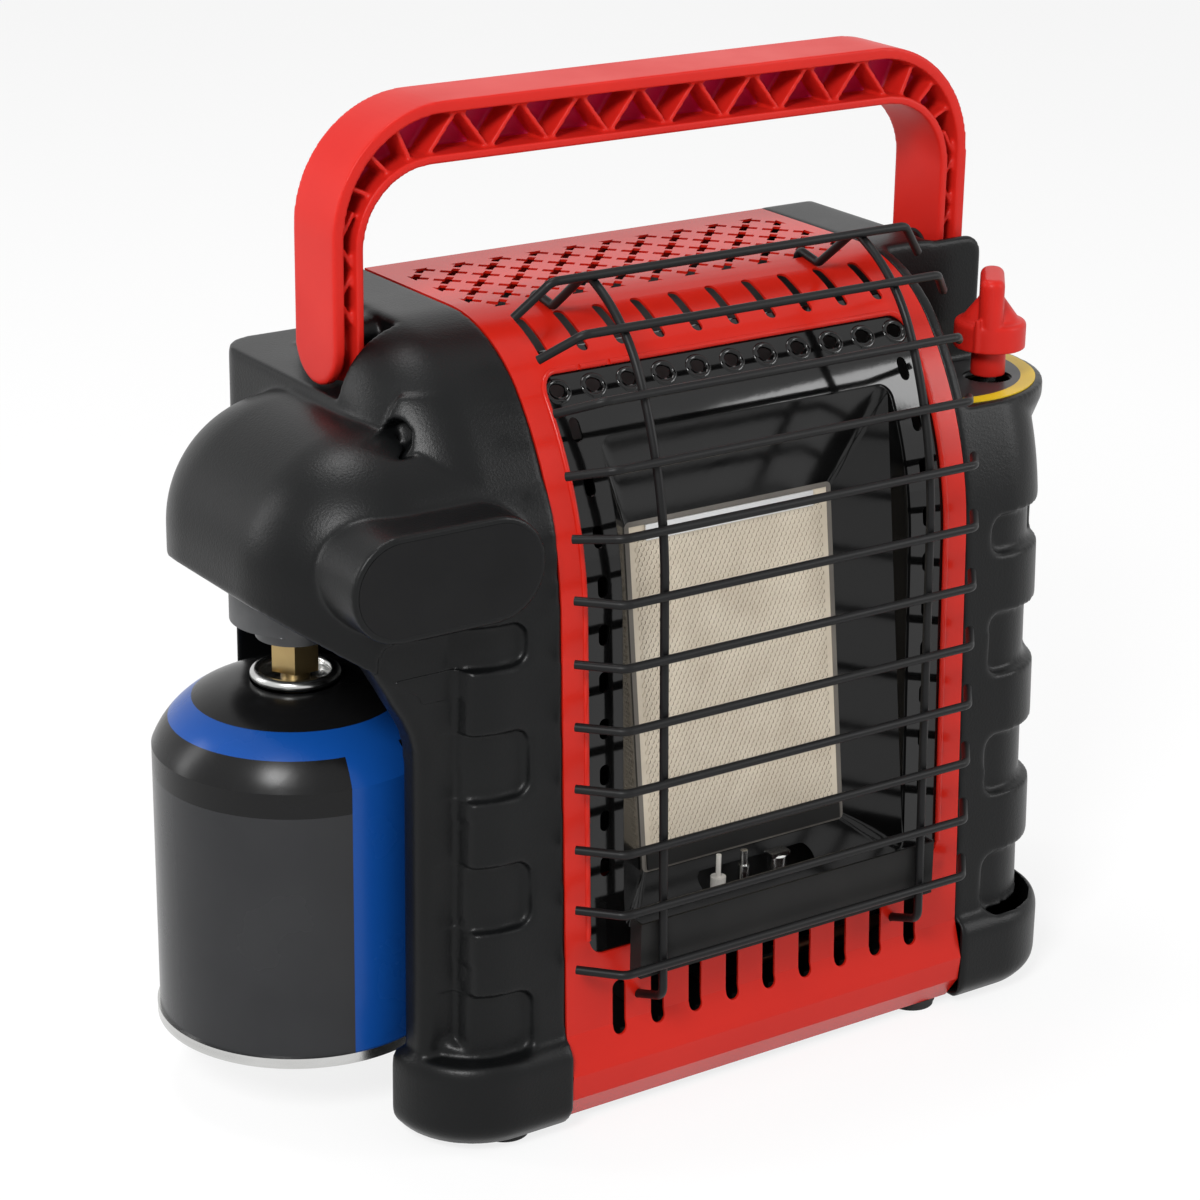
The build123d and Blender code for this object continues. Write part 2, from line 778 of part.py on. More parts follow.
def left_hollow():
    """Space inside the left cap: the pillar, then everything above the bay."""
    with BuildPart() as hollow:
        add(cap_cavity(relief=True))
        add(foot_form(cap_wall))
        with BuildSketch(side_at(wrap_half)):
            with Locations(((bay_front - cap_wall + body_rear) / 2, bay_roof / 2)):
                Rectangle(body_rear - bay_front + cap_wall, bay_roof + 2 * cap_wall)
        extrude(amount=cap_half, mode=Mode.SUBTRACT)
        add(dome_form(cap_wall))
        add(grip_bands(cap_wall, relief=True), mode=Mode.SUBTRACT)
        with BuildSketch(front_at(badge_face_y + cap_wall + badge_recess)):
            with Locations((badge_x, badge_z)):
                SlotOverall(badge_width - 2 * cap_wall, badge_height - 2 * cap_wall)
        extrude(amount=badge_face_y - badge_root_y)
        # open between the bay and the hood, for the regulator and the canister's neck
        with BuildSketch(level(bay_roof - cap_wall)):
            with Locations(((wrap_half + cap_half) / 2 + cap_wall, (bay_front + bay_rear) / 2)):
                Rectangle(cap_half - wrap_half + 2 * cap_wall,
                          bay_rear - bay_front - 2 * bay_corner)
        extrude(amount=4 * cap_wall)
    return hollow.part


# left_end_cap: front pillar, bay for the canister, dome over the regulator and badge boss.
rim_rise = tan(radians(bay_slope))
with BuildPart() as left_end_cap:
    add(cap_form(0))
    add(foot_form(0))
    add(dome_form(0))
    add(grip_cutter(relief=True), mode=Mode.SUBTRACT)
    with BuildSketch(front_at(badge_face_y)):
        with Locations((badge_x, badge_z)):
            SlotOverall(badge_width, badge_height)
    extrude(amount=badge_face_y - badge_root_y)
    # the bay, its rim rising outwards under the dome
    with BuildSketch(side_at(wrap_half)):
        with BuildLine():
            FilletPolyline((bay_front, -1), (bay_front, bay_roof), (bay_rear, bay_roof),
                           (bay_rear, -1), radius=[bay_corner, bay_corner])
            Line((bay_rear, -1), (bay_front, -1))
        make_face()
    extrude(amount=cap_half, mode=Mode.SUBTRACT)
    with BuildSketch(front_at(dome_front - 1)):
        with BuildLine():
            Polyline((cap_half, bay_roof - 2 * cap_wall), (cap_half, bay_roof),
                     (2 * cap_half, bay_roof + cap_half * rim_rise),
                     (2 * cap_half, bay_roof - 2 * cap_wall), close=True)
        make_face()
    extrude(amount=dome_front - 1 - body_rear, mode=Mode.SUBTRACT)
    add(left_hollow(), mode=Mode.SUBTRACT)
    with BuildSketch(front_at(badge_face_y)):
        with Locations((badge_x, badge_z)):
            SlotOverall(badge_width - 2 * badge_rim, badge_height - 2 * badge_rim)
    extrude(amount=-badge_recess, mode=Mode.SUBTRACT)
    add(screw_post())
    add(panel_posts(left_posts))
    add(handle_pocket(), mode=Mode.SUBTRACT)
    add(pivot_stud())
    add(pivot_bore(), mode=Mode.SUBTRACT)
    add(screw_recess(), mode=Mode.SUBTRACT)
    with BuildSketch(level(foot_height)):
        with Locations((-front_left_foot_x, -foot_inset)):
            Circle(screw_shank)
    extrude(amount=cap_wall, mode=Mode.SUBTRACT)
    mirror(about=side_plane, mode=Mode.REPLACE)
keep(left_end_cap, "left_end_cap")

# badge_plate: bare plate set in the boss.
with BuildPart() as badge_plate:
    with BuildSketch(front_at(badge_face_y + badge_recess)):
        with Locations((-badge_x, badge_z)):
            SlotOverall(badge_width - 2 * badge_rim - side_play,
                        badge_height - 2 * badge_rim - side_play)
    extrude(amount=badge_recess * 0.8)
keep(badge_plate, "badge_plate")

# dial_plate: crescent scale round the knob.
with BuildPart() as dial_plate:
    with BuildSketch(level(platform_z)):
        with Locations((housing_x, housing_y)):
            Circle(housing_radius - dial_margin)
        with Locations(((platform_inner + dial_margin) / 2 - body_rear,
                        0)):
            Rectangle(platform_inner + dial_margin + 2 * body_rear, 4 * body_rear,
                      mode=Mode.SUBTRACT)
        with Locations((housing_x, platform_back - dial_margin + body_rear)):
            Rectangle(4 * body_rear, 2 * body_rear, mode=Mode.SUBTRACT)
        with Locations((knob_x, knob_y)):
            Circle(knob_hole + 1, mode=Mode.SUBTRACT)
    extrude(amount=dial_thick)
keep(dial_plate, "dial_plate")

# ================================================================ handle
leg_reach = leg_depth / 2


def arch(half, top, corner):
    """Area under an arch with rounded shoulders, down to below the pivots."""
    low = pivot_z - leg_depth
    with BuildSketch() as area:
        with Locations((0, (top + low) / 2)):
            Rectangle(2 * half, top - low)
        fillet(area.vertices().group_by(Axis.Y)[-1], corner)
    return area.sketch_local


skin_in = (leg_outer - handle_skin, bar_top - handle_skin, bar_corner - handle_skin)
lip_out = (leg_inner + handle_lip, bar_bottom + handle_lip, bar_inner_corner + handle_lip)
lip_in = (leg_inner, bar_bottom, bar_inner_corner)
with BuildPart() as handle:
    with BuildSketch(front_at(leg_y)):
        add(arch(leg_outer, bar_top, bar_corner))
        add(arch(*skin_in), mode=Mode.SUBTRACT)
        add(arch(*lip_out))
        add(arch(*lip_in), mode=Mode.SUBTRACT)
    extrude(amount=leg_reach, both=True)
    with BuildSketch(front_at(leg_y)):
        add(arch(*skin_in))
        add(arch(*lip_out), mode=Mode.SUBTRACT)
    extrude(amount=rib / 2, both=True)
    # truss ribs, a zigzag along the bar and down each leg
    with BuildSketch(front_at(leg_y)):
        bar_low = bar_bottom + handle_lip
        bar_high = bar_top - handle_skin
        bar_half = leg_outer - bar_corner + corner_step
        step = 2 * bar_half / bar_ribs
        rise = bar_high - bar_low + rib
        for index in range(bar_ribs):
            centre_x = -bar_half + (index + 0.5) * step
            turn = degrees(atan2(rise, step)) * (1 if index % 2 == 0 else -1)
            with Locations((centre_x, (bar_low + bar_high) / 2)):
                Rectangle(hypot(rise, step), rib, rotation=turn)
        leg_low = pivot_z + pivot_boss
        leg_step = (bar_bottom - bar_inner_corner / 2 - leg_low) / leg_ribs
        across = leg_outer - handle_skin - leg_inner - handle_lip + rib
        for side in (-1, 1):
            middle = side * (leg_outer - handle_skin + leg_inner + handle_lip) / 2
            for index in range(leg_ribs):
                turn = degrees(atan2(leg_step, across)) * (1 if index % 2 == 0 else -1)
                with Locations((middle, leg_low + (index + 0.5) * leg_step)):
                    Rectangle(hypot(leg_step, across), rib, rotation=side * turn)
            corner_x = side * (leg_outer - bar_corner + 2)
            with Locations((corner_x, bar_top - bar_corner + 2)):
                for angle in corner_rib_angles:
                    turn = radians(angle)
                    reach = (bar_corner + bar_inner_corner) / 2 - corner_step
                    with Locations((side * reach * cos(turn), reach * sin(turn))):
                        Rectangle(bar_corner - bar_inner_corner + 4, rib,
                                  rotation=angle if side > 0 else 180 - angle)
        add(arch(*skin_in), mode=Mode.INTERSECT)
        add(arch(*lip_out), mode=Mode.SUBTRACT)
    extrude(amount=leg_reach - rib_setback, both=True)
    # solid eye round each pivot
    for side in (-1, 1):
        with BuildSketch(side_at(side * leg_inner)):
            with Locations((leg_y, pivot_z)):
                Circle(pivot_boss)
        extrude(amount=side * (leg_outer - leg_inner))
    # round the feet of the legs about the pivot
    with BuildSketch(side_plane):
        with Locations((leg_y, pivot_z)):
            Circle(leg_reach)
        with Locations((leg_y, (pivot_z + bar_top) / 2)):
            Rectangle(leg_depth, bar_top - pivot_z)
    extrude(amount=leg_outer, both=True, mode=Mode.INTERSECT)
    for side in (-1, 1):
        with BuildSketch(side_at(side * leg_inner)):
            with Locations((leg_y, pivot_z)):
                Circle(pivot_radius + pivot_clearance)
        extrude(amount=side * (pivot_depth + side_play), mode=Mode.SUBTRACT)
keep(handle, "handle")

# handle_pivots: headed steel pins pressed through the pocket walls into the legs.
with BuildPart() as handle_pivots:
    for side in (-1, 1):
        with BuildSketch(side_at(side * (pocket_inner - cap_wall))):
            with Locations((leg_y, pivot_z)):
                Circle(pivot_radius)
        extrude(amount=side * (leg_inner + pivot_depth - pocket_inner + cap_wall))
        with BuildSketch(side_at(side * (pocket_inner - cap_wall))):
            with Locations((leg_y, pivot_z)):
                Circle(pivot_radius + 2)
        extrude(amount=-side * screw_head_height)
keep(handle_pivots, "handle_pivots")

with BuildPart() as handle_washers:
    for side in (-1, 1):
        with BuildSketch(side_at(side * (leg_inner - side_play))):
            with Locations((leg_y, pivot_z)):
                Circle(pivot_boss)
                Circle(pivot_radius, mode=Mode.SUBTRACT)
        extrude(amount=-side * washer)
keep(handle_washers, "handle_washers")

# ================================================================ wire guard
# The side rods run up in front of the window, over the brow and down through the top.
with BuildPart() as guard_rods:
    add(rods(wire_radius))
keep(guard_rods, "guard_rods")

# guard_crossbars: each wire lies against the outside of the rods, its ends turned in.
with BuildPart() as guard_crossbars:
    for index in range(wire_count):
        centre, heading = wire_frame(index)
        wire_plane = Plane(origin=centre + Vector(body_x, body_y, 0), x_dir=(1, 0, 0),
                           z_dir=heading)
        with BuildLine(wire_plane) as wire_line:
            FilletPolyline((-wire_half - tail_out, tail_in), (-wire_half, 0), (wire_half, 0),
                           (wire_half + tail_out, tail_in), radius=[5, 5])
        with BuildSketch(Plane(origin=wire_line.line @ 0, z_dir=wire_line.line % 0)):
            Circle(wire_radius)
        sweep(path=wire_line.line)
keep(guard_crossbars, "guard_crossbars")

# guard_plate: bare plate hung between the lowest wires, its ends flanged in.
rod_slope = (rod_points[2][0] - rod_front_y) / (rod_points[2][1] - rod_bend_z)
plate_y = rod_front_y + (guard_plate_high - rod_bend_z) * rod_slope + wire_radius + running_fit
with BuildPart() as guard_plate:
    with BuildSketch(level(guard_plate_low)):
        with Locations((0, plate_y + sheet / 2)):
            Rectangle(2 * guard_plate_half, sheet)
        for side in (-1, 1):
            with Locations((side * (guard_plate_half - sheet / 2),
                            plate_y + guard_plate_flange / 2)):
                Rectangle(sheet, guard_plate_flange)
    extrude(amount=guard_plate_high - guard_plate_low)
keep(guard_plate, "guard_plate")

# ================================================================ reflector and burner
tile_turn = radians(tile_lean)
tile_out = Vector(0, -cos(tile_turn), sin(tile_turn))
tile_plane = Plane(origin=(body_x, body_y + tile_foot_y, tile_foot_z),
                   x_dir=(1, 0, 0), z_dir=tile_out)
hanger_y = -40.0             # leg of the pilot bracket, in front of the box's floor
mouth_low = -mouth_below
mouth_high = tile_height + mouth_above
mouth_mid = (mouth_low + mouth_high) / 2
tile_mid = tile_height / 2

# reflector_surround: enamelled frame behind the window edge, bent with the brow.
mouth_corner = 6.0
surround_lap = 6.0           # how far the frame reaches behind the window's edge
surround_hole_wide = 3.2     # half width and half height
surround_hole_high = 2.6
side_slot_length = 8.0
side_slot_width = 4.4
with BuildPart() as reflector_surround:
    with BuildSketch(side_plane):
        add(side_area(sheet, wrap_rear, window_low - surround_lap))
        add(side_area(sheet + enamel, wrap_rear + 1, window_low - surround_lap - 1),
            mode=Mode.SUBTRACT)
        with Locations((0, window_high + surround_lap + body_top)):
            Rectangle(4 * body_rear, 2 * body_top, mode=Mode.SUBTRACT)
        with Locations((wrap_rear, body_top / 2)):
            Rectangle(body_rear, 2 * body_top, mode=Mode.SUBTRACT)
    extrude(amount=window_half + surround_lap, both=True)
    with BuildSketch(tile_plane):
        with Locations((0, mouth_mid)):
            RectangleRounded(2 * mouth_half, mouth_high - mouth_low, mouth_corner)
    extrude(amount=2 * body_rear, mode=Mode.SUBTRACT)
    with BuildSketch(front_plane):
        with Locations((0, surround_hole_z)):
            with GridLocations(surround_pitch, 0, surround_holes, 1):
                Ellipse(surround_hole_wide, surround_hole_high)
        for side in (-1, 1):
            for index in range(side_slot_count):
                with Locations((side * side_slot_x, side_slot_low + index * side_slot_pitch)):
                    SlotOverall(side_slot_length, side_slot_width, rotation=90)
    extrude(amount=2 * body_rear, mode=Mode.SUBTRACT)
keep(reflector_surround, "reflector_surround")

# reflector_pan: funnel from the mouth in to the tile.
throat_half = tile_width / 2 + gasket + enamel
throat_full = tile_height + 2 * (gasket + enamel)
throat_corner = 3.0
passage_length = 54.0        # slot in the funnel's floor for the pilot tube and the probes
passage_width = 7.0


def funnel(inset):
    """Solid funnel between the mouth and the tile, moved in by inset."""
    with BuildPart() as form:
        with BuildSketch(tile_plane.offset(mouth_ahead)):
            with Locations((0, mouth_mid)):
                RectangleRounded(2 * (mouth_half - inset), mouth_high - mouth_low - 2 * inset,
                                 mouth_corner - inset)
        with BuildSketch(tile_plane):
            with Locations((0, tile_mid)):
                RectangleRounded(2 * (throat_half - inset), throat_full - 2 * inset,
                                 throat_corner - inset)
        loft()
    return form.part


with BuildPart() as reflector_pan:
    with BuildSketch(tile_plane.offset(mouth_ahead)):
        with Locations((0, mouth_mid)):
            RectangleRounded(2 * mouth_half, mouth_high - mouth_low, mouth_corner)
            RectangleRounded(2 * (mouth_half - enamel), mouth_high - mouth_low - 2 * enamel,
                             mouth_corner - enamel, mode=Mode.SUBTRACT)
    extrude(amount=body_rear)
    with BuildSketch(side_plane):
        add(side_area(sheet + enamel, 2 * body_rear, 0))
    extrude(amount=wrap_half, both=True, mode=Mode.INTERSECT)
    add(funnel(0))
    add(funnel(enamel), mode=Mode.SUBTRACT)
    # passages for the pilot tube and the two probes
    with BuildSketch(front_at(face_foot_y)):
        with Locations((0, tile_foot_z - mouth_below / 2)):
            SlotOverall(passage_length, passage_width)
    extrude(amount=hanger_y - body_rear / 2, mode=Mode.SUBTRACT)
keep(reflector_pan, "reflector_pan")

with BuildPart() as burner_tile:
    with BuildSketch(tile_plane):
        with Locations((0, tile_mid)):
            Rectangle(tile_width, tile_height)
    extrude(amount=-tile_thick)
keep(burner_tile, "burner_tile")

# tile_gasket: fibre frame round the tile's edge.
with BuildPart() as tile_gasket:
    with BuildSketch(tile_plane):
        with Locations((0, tile_mid)):
            Rectangle(tile_width + 2 * gasket, tile_height + 2 * gasket)
            Rectangle(tile_width, tile_height, mode=Mode.SUBTRACT)
    extrude(amount=-tile_thick)
keep(tile_gasket, "tile_gasket")

# burner_box: gas plenum behind the tile, open to the front.
tile_seat = 4.0
venturi_x = 24.0
venturi_radius = 9.0
venturi_mouth = 13.0
venturi_wall = 1.0
venturi_top = tile_foot_z + 16.0
with BuildPart() as burner_box:
    with BuildSketch(tile_plane):
        with Locations((0, tile_mid)):
            Rectangle(tile_width + 2 * gasket + 2 * enamel,
                      tile_height + 2 * gasket + 2 * enamel)
    extrude(amount=-tile_thick - plenum_depth)
    with BuildSketch(tile_plane):
        with Locations((0, tile_mid)):
            Rectangle(tile_width + 2 * gasket, tile_height + 2 * gasket)
    extrude(amount=-tile_thick - plenum_depth + enamel, mode=Mode.SUBTRACT)
    # inner step that the tile and its gasket sit against
    with BuildSketch(tile_plane.offset(-tile_thick)):
        with Locations((0, tile_mid)):
            Rectangle(tile_width + 2 * gasket, tile_height + 2 * gasket)
            Rectangle(tile_width - 2 * tile_seat, tile_height - 2 * tile_seat,
                      mode=Mode.SUBTRACT)
    extrude(amount=-enamel)
    with BuildSketch(level(venturi_top - plenum_depth)):
        with Locations((venturi_x, knob_y)):
            Circle(venturi_radius)
    extrude(amount=plenum_depth, mode=Mode.SUBTRACT)
keep(burner_box, "burner_box")

# tile clips: a bright strip over the tile's top edge and a dark one along its foot.
clip_inset = 7.0
with BuildPart() as tile_clip_top:
    with BuildSketch(tile_plane):
        with Locations((0, tile_height - clip_height / 2)):
            Rectangle(tile_width - 2 * clip_inset, clip_height)
    extrude(amount=enamel)
keep(tile_clip_top, "tile_clip_top")

with BuildPart() as tile_clip_bottom:
    with BuildSketch(tile_plane):
        with Locations((0, clip_height / 2 - gasket / 2)):
            Rectangle(tile_width, clip_height)
    extrude(amount=enamel)
keep(tile_clip_bottom, "tile_clip_bottom")

# venturi_tube: mixing tube up into the plenum, its mouth flared over the jet.
jet_z = 34.0
flare_low = jet_z + 5
flare_high = jet_z + 20
with BuildPart() as venturi_tube:
    with BuildSketch(Plane(origin=(body_x + venturi_x, body_y + knob_y, 0),
                           x_dir=(1, 0, 0), z_dir=(0, -1, 0))):
        with BuildLine():
            Polyline((venturi_radius, venturi_top), (venturi_radius, flare_high),
                     (venturi_mouth, flare_low), (venturi_mouth - venturi_wall, flare_low),
                     (venturi_radius - venturi_wall, flare_high),
                     (venturi_radius - venturi_wall, venturi_top), close=True)
        make_face()
    revolve(axis=Axis((body_x + venturi_x, body_y + knob_y, 0), (0, 0, 1)))
keep(venturi_tube, "venturi_tube")

# orifice_holder: hexagonal brass jet under the mixing tube.
jet_foot_z = low_tube_z + 6
jet_hexagon = 6.0            # radius over its corners
jet_nose = 3.0
with BuildPart() as orifice_holder:
    with BuildSketch(level(jet_foot_z)):
        with Locations((venturi_x, knob_y)):
            RegularPolygon(jet_hexagon, 6)
    extrude(amount=jet_z - jet_foot_z)
    with BuildSketch(level(jet_z)):
        with Locations((venturi_x, knob_y)):
            Circle(jet_nose)
    extrude(amount=jet_nose)
keep(orifice_holder, "orifice_holder")

# jet_bracket: sheet shelf that holds the jet, screwed down to the base pan.
shelf_z = jet_foot_z - panel
bracket_y = knob_y + 16
bracket_foot = 14.0
bracket_half = 9.0
base_top = foot_height + panel
with BuildPart() as jet_bracket:
    with BuildSketch(side_at(venturi_x)):
        with BuildLine():
            Polyline((bracket_y, base_top), (bracket_y + bracket_foot, base_top),
                     (bracket_y + bracket_foot, base_top + panel),
                     (bracket_y + panel, base_top + panel), (bracket_y + panel, jet_foot_z),
                     (knob_y - bracket_half, jet_foot_z), (knob_y - bracket_half, shelf_z),
                     (bracket_y, shelf_z), close=True)
        make_face()
    extrude(amount=bracket_half, both=True)
    with BuildSketch(level(shelf_z)):
        with Locations((venturi_x, knob_y)):
            Circle(tube_radius + hole_margin / 2)
    extrude(amount=panel, mode=Mode.SUBTRACT)
keep(jet_bracket, "jet_bracket")

# pilot group: bracket under the pan, carrying a small burner, a probe and an electrode.
pilot_y = -56.5
pilot_low = 66.0
pilot_x = 10.0
probe_x = -6.0
electrode_x = -18.0
pilot_radius = 3.5
probe_radius = 2.2
electrode_radius = 3.0
pilot_lip = 5.0              # bracket in front of the pilot's middle
pilot_height = 18.0
pilot_hood_width = 9.0
pilot_hood_depth = 5.0
probe_height = 20.0
probe_tip = 6.0
electrode_tip = 9.0
box_floor_z = (tile_foot_z - (gasket + enamel) * cos(tile_turn)
               - (hanger_y - tile_foot_y + (gasket + enamel) * sin(tile_turn)) * tan(tile_turn))
with BuildPart() as pilot_bracket:
    with BuildSketch(side_plane):
        with BuildLine():
            Polyline((pilot_y - pilot_lip, pilot_low), (hanger_y, pilot_low),
                     (hanger_y, box_floor_z), (hanger_y - panel, box_floor_z),
                     (hanger_y - panel, pilot_low + panel),
                     (pilot_y - pilot_lip, pilot_low + panel), close=True)
        make_face()
    extrude(amount=passage_length / 2 - 1, both=True)
    with BuildSketch(level(pilot_low)):
        for x, radius in ((pilot_x, pilot_radius), (probe_x, probe_radius),
                          (electrode_x, electrode_radius)):
            with Locations((x, pilot_y)):
                Circle(radius)
    extrude(amount=panel, mode=Mode.SUBTRACT)
keep(pilot_bracket, "pilot_bracket")

with BuildPart() as pilot_burner:
    with BuildSketch(level(pilot_low)):
        with Locations((pilot_x, pilot_y)):
            Circle(pilot_radius)
    extrude(amount=pilot_height)
    with BuildSketch(level(pilot_low + pilot_height)):
        with Locations((pilot_x, pilot_y)):
            Rectangle(pilot_hood_width, pilot_hood_depth)
    extrude(amount=2)
keep(pilot_burner, "pilot_burner")

with BuildPart() as thermocouple:
    with BuildSketch(level(pilot_low - 2)):
        with Locations((probe_x, pilot_y)):
            Circle(probe_radius)
    extrude(amount=probe_height)
    with BuildSketch(level(pilot_low - 2 + probe_height)):
        with Locations((probe_x, pilot_y)):
            Circle(probe_radius * 2 / 3)
    extrude(amount=probe_tip)
keep(thermocouple, "thermocouple")

with BuildPart() as igniter_electrode:
    with BuildSketch(level(pilot_low - 4)):
        with Locations((electrode_x, pilot_y)):
            Circle(electrode_radius)
    extrude(amount=probe_height)
    with BuildSketch(level(pilot_low - 4 + probe_height)):
        with Locations((electrode_x, pilot_y)):
            Circle(electrode_radius / 3)
    extrude(amount=electrode_tip)
keep(igniter_electrode, "igniter_electrode")

# heat_deflector: slanted sheet that turns rising heat away from the rear of the top.
deflector_front = -12.0
deflector_bend = 58.0
deflector_rear = 70.0
deflector_low = 250.0
deflector_high = 285.0
with BuildPart() as heat_deflector:
    with BuildSketch(side_plane):
        with BuildLine():
            Polyline((deflector_front, deflector_low), (deflector_bend, deflector_high),
                     (deflector_rear, deflector_high), (deflector_rear, deflector_high + enamel),
                     (deflector_bend, deflector_high + enamel),
                     (deflector_front, deflector_low + enamel), close=True)
        make_face()
    extrude(amount=base_half, both=True)
keep(heat_deflector, "heat_deflector")

# rear_heat_shield: upright sheet between the burner and the rear panel.
shield_y = 62.0
shield_low = 30.0
shield_high = 262.0
shield_slot_column = 40.0
shield_slot_row = 30.0
shield_slot_length = 24.0
shield_slot_width = 4.0
with BuildPart() as rear_heat_shield:
    with BuildSketch(front_at(shield_y)):
        with Locations((0, (shield_low + shield_high) / 2)):
            Rectangle(2 * base_half, shield_high - shield_low)
            with GridLocations(shield_slot_column, shield_slot_row, 4, 5):
                SlotOverall(shield_slot_length, shield_slot_width, mode=Mode.SUBTRACT)
    extrude(amount=enamel)
keep(rear_heat_shield, "rear_heat_shield")

# tilt_switch: box that shuts the gas off when the heater tips over.
tilt_x = 38.5 - wrap_half
tilt_y = 40.0
tilt_width = 22.0
tilt_depth = 16.0
tilt_height = 20.0
with BuildPart() as tilt_switch:
    with BuildSketch(level(base_top)):
        with Locations((tilt_x, tilt_y)):
            RectangleRounded(tilt_width, tilt_depth, 2)
    extrude(amount=tilt_height)
keep(tilt_switch, "tilt_switch")

# ================================================================ gas valve and knob
bore_low = valve_low + 20
with BuildPart() as gas_valve_body:
    with BuildSketch(level(valve_low)):
        with Locations((knob_x, knob_y)):
            Circle(valve_neck)
    extrude(amount=valve_high - valve_low)
    with BuildSketch(level(valve_high)):
        with Locations((knob_x, knob_y)):
            Circle(valve_radius)
    extrude(amount=-valve_flange)
    with BuildSketch(front_at(knob_y + valve_radius + 5)):
        with Locations((knob_x, supply_z)):
            Circle(tube_radius + 3)
    extrude(amount=valve_radius)
    with BuildSketch(level(bore_low)):
        with Locations((knob_x, knob_y)):
            Circle(plug_radius + running_fit)
    extrude(amount=valve_high - bore_low, mode=Mode.SUBTRACT)
keep(gas_valve_body, "gas_valve_body")

# valve_plug: turned by the stem, closed in by the bonnet.
socket_low = bore_low + 8
with BuildPart() as valve_plug:
    with BuildSketch(level(bore_low + side_play)):
        with Locations((knob_x, knob_y)):
            Circle(plug_radius)
    extrude(amount=valve_high - bore_low - 2 * side_play)
    with BuildSketch(level(socket_low)):
        with Locations((knob_x, knob_y)):
            Circle(stem_radius + running_fit)
    extrude(amount=valve_high - socket_low, mode=Mode.SUBTRACT)
keep(valve_plug, "valve_plug")

bonnet_height = 3.0
with BuildPart() as valve_bonnet:
    with BuildSketch(level(valve_high)):
        with Locations((knob_x, knob_y)):
            Circle(valve_radius)
            Circle(stem_radius + side_play, mode=Mode.SUBTRACT)
    extrude(amount=bonnet_height)
keep(valve_bonnet, "valve_bonnet")

# valve_stem: slides in the plug as the knob is pushed.
stem_low = socket_low + knob_travel + 1
stem_high = flange_high - 4
with BuildPart() as valve_stem:
    with BuildSketch(level(stem_low)):
        with Locations((knob_x, knob_y)):
            Circle(stem_radius)
    extrude(amount=stem_high - stem_low)
keep(valve_stem, "valve_stem")

# control_knob: round flange with a finger wing on top and a pointer rib.
with BuildPart() as control_knob:
    with BuildSketch(level(knob_low)):
        with Locations((knob_x, knob_y)):
            Circle(knob_neck)
    extrude(amount=flange_low - knob_low)
    with BuildSketch(level(flange_low)):
        with Locations((knob_x, knob_y)):
            Circle(knob_radius)
    extrude(amount=flange_high - flange_low)
    fillet(control_knob.edges().filter_by(GeomType.CIRCLE).sort_by(Axis.Z)[-1], 2)
    with BuildSketch(level(flange_high - 1)):
        with Locations((knob_x, knob_y)):
            SlotOverall(2 * knob_radius, wing_thick, rotation=wing_turn)
    extrude(amount=wing_top - flange_high + 1)
    fillet(control_knob.faces().sort_by(Axis.Z)[-1].edges(), 3)
    with BuildSketch(level(knob_low)):
        with Locations((knob_x, knob_y)):
            Circle(stem_radius)
    extrude(amount=stem_high - knob_low, mode=Mode.SUBTRACT)
keep(control_knob, "control_knob")

# valve_bracket: angle from the right inner panel to the underside of the valve.
pilot_port_x = knob_x - 4
lead_port_x = knob_x + 4
bracket_reach = knob_x + 7
valve_bracket_width = 30.0
valve_bracket_flange = 16.0
with BuildPart() as valve_bracket:
    with BuildSketch(level(valve_low)):
        with Locations(((wrap_half + bracket_reach) / 2, knob_y)):
            Rectangle(bracket_reach - wrap_half, valve_bracket_width)
        with Locations((knob_x, knob_y)):
            Circle(tube_radius + hole_margin / 2, mode=Mode.SUBTRACT)
        with Locations((pilot_port_x, pilot_run_y), (lead_port_x, lead_run_y)):
            Circle(thin_tube_radius + hole_margin / 2, mode=Mode.SUBTRACT)
    extrude(amount=-panel)
    with BuildSketch(side_at(wrap_half)):
        with Locations((knob_y, valve_low + valve_bracket_flange / 2)):
            Rectangle(valve_bracket_width, valve_bracket_flange)
    extrude(amount=panel)
keep(valve_bracket, "valve_bracket")

# ================================================================ regulator
nut_gap = 4.5                # from the canister's crest to the nut
bonnet_rise = 13.0
bonnet_taper = 24
regulator_arm = 34.0         # width of the bracket's arm
regulator_flange = 18.0
nut_low = can_bottom + can_height + can_shoulder + nut_gap
nut_top = nut_low + nut_height
flange_top = nut_top + 6
body_low = flange_top + panel
body_high = body_low + regulator_height
with BuildPart() as regulator_body:
    with BuildSketch(level(nut_top)):
        with Locations((can_x, can_y)):
            Circle(flange_radius)
    extrude(amount=flange_top - nut_top)
    with BuildSketch(level(flange_top)):
        with Locations((can_x, can_y)):
            Circle(flange_radius - 3)
    extrude(amount=panel)
    with BuildSketch(level(body_low)):
        with Locations((can_x, can_y)):
            Circle(regulator_radius)
    extrude(amount=regulator_height)
    outlet_end = can_x + regulator_radius + 10
    with BuildSketch(side_at(outlet_end)):
        with Locations((can_y, supply_z)):
            Circle(tube_radius + 3)
    extrude(amount=can_x + regulator_radius / 2 - outlet_end)
keep(regulator_body, "regulator_body")

with BuildPart() as regulator_bonnet:
    with BuildSketch(level(body_high)):
        with Locations((can_x, can_y)):
            Circle(regulator_radius - 1)
    extrude(amount=bonnet_rise, taper=bonnet_taper)
keep(regulator_bonnet, "regulator_bonnet")

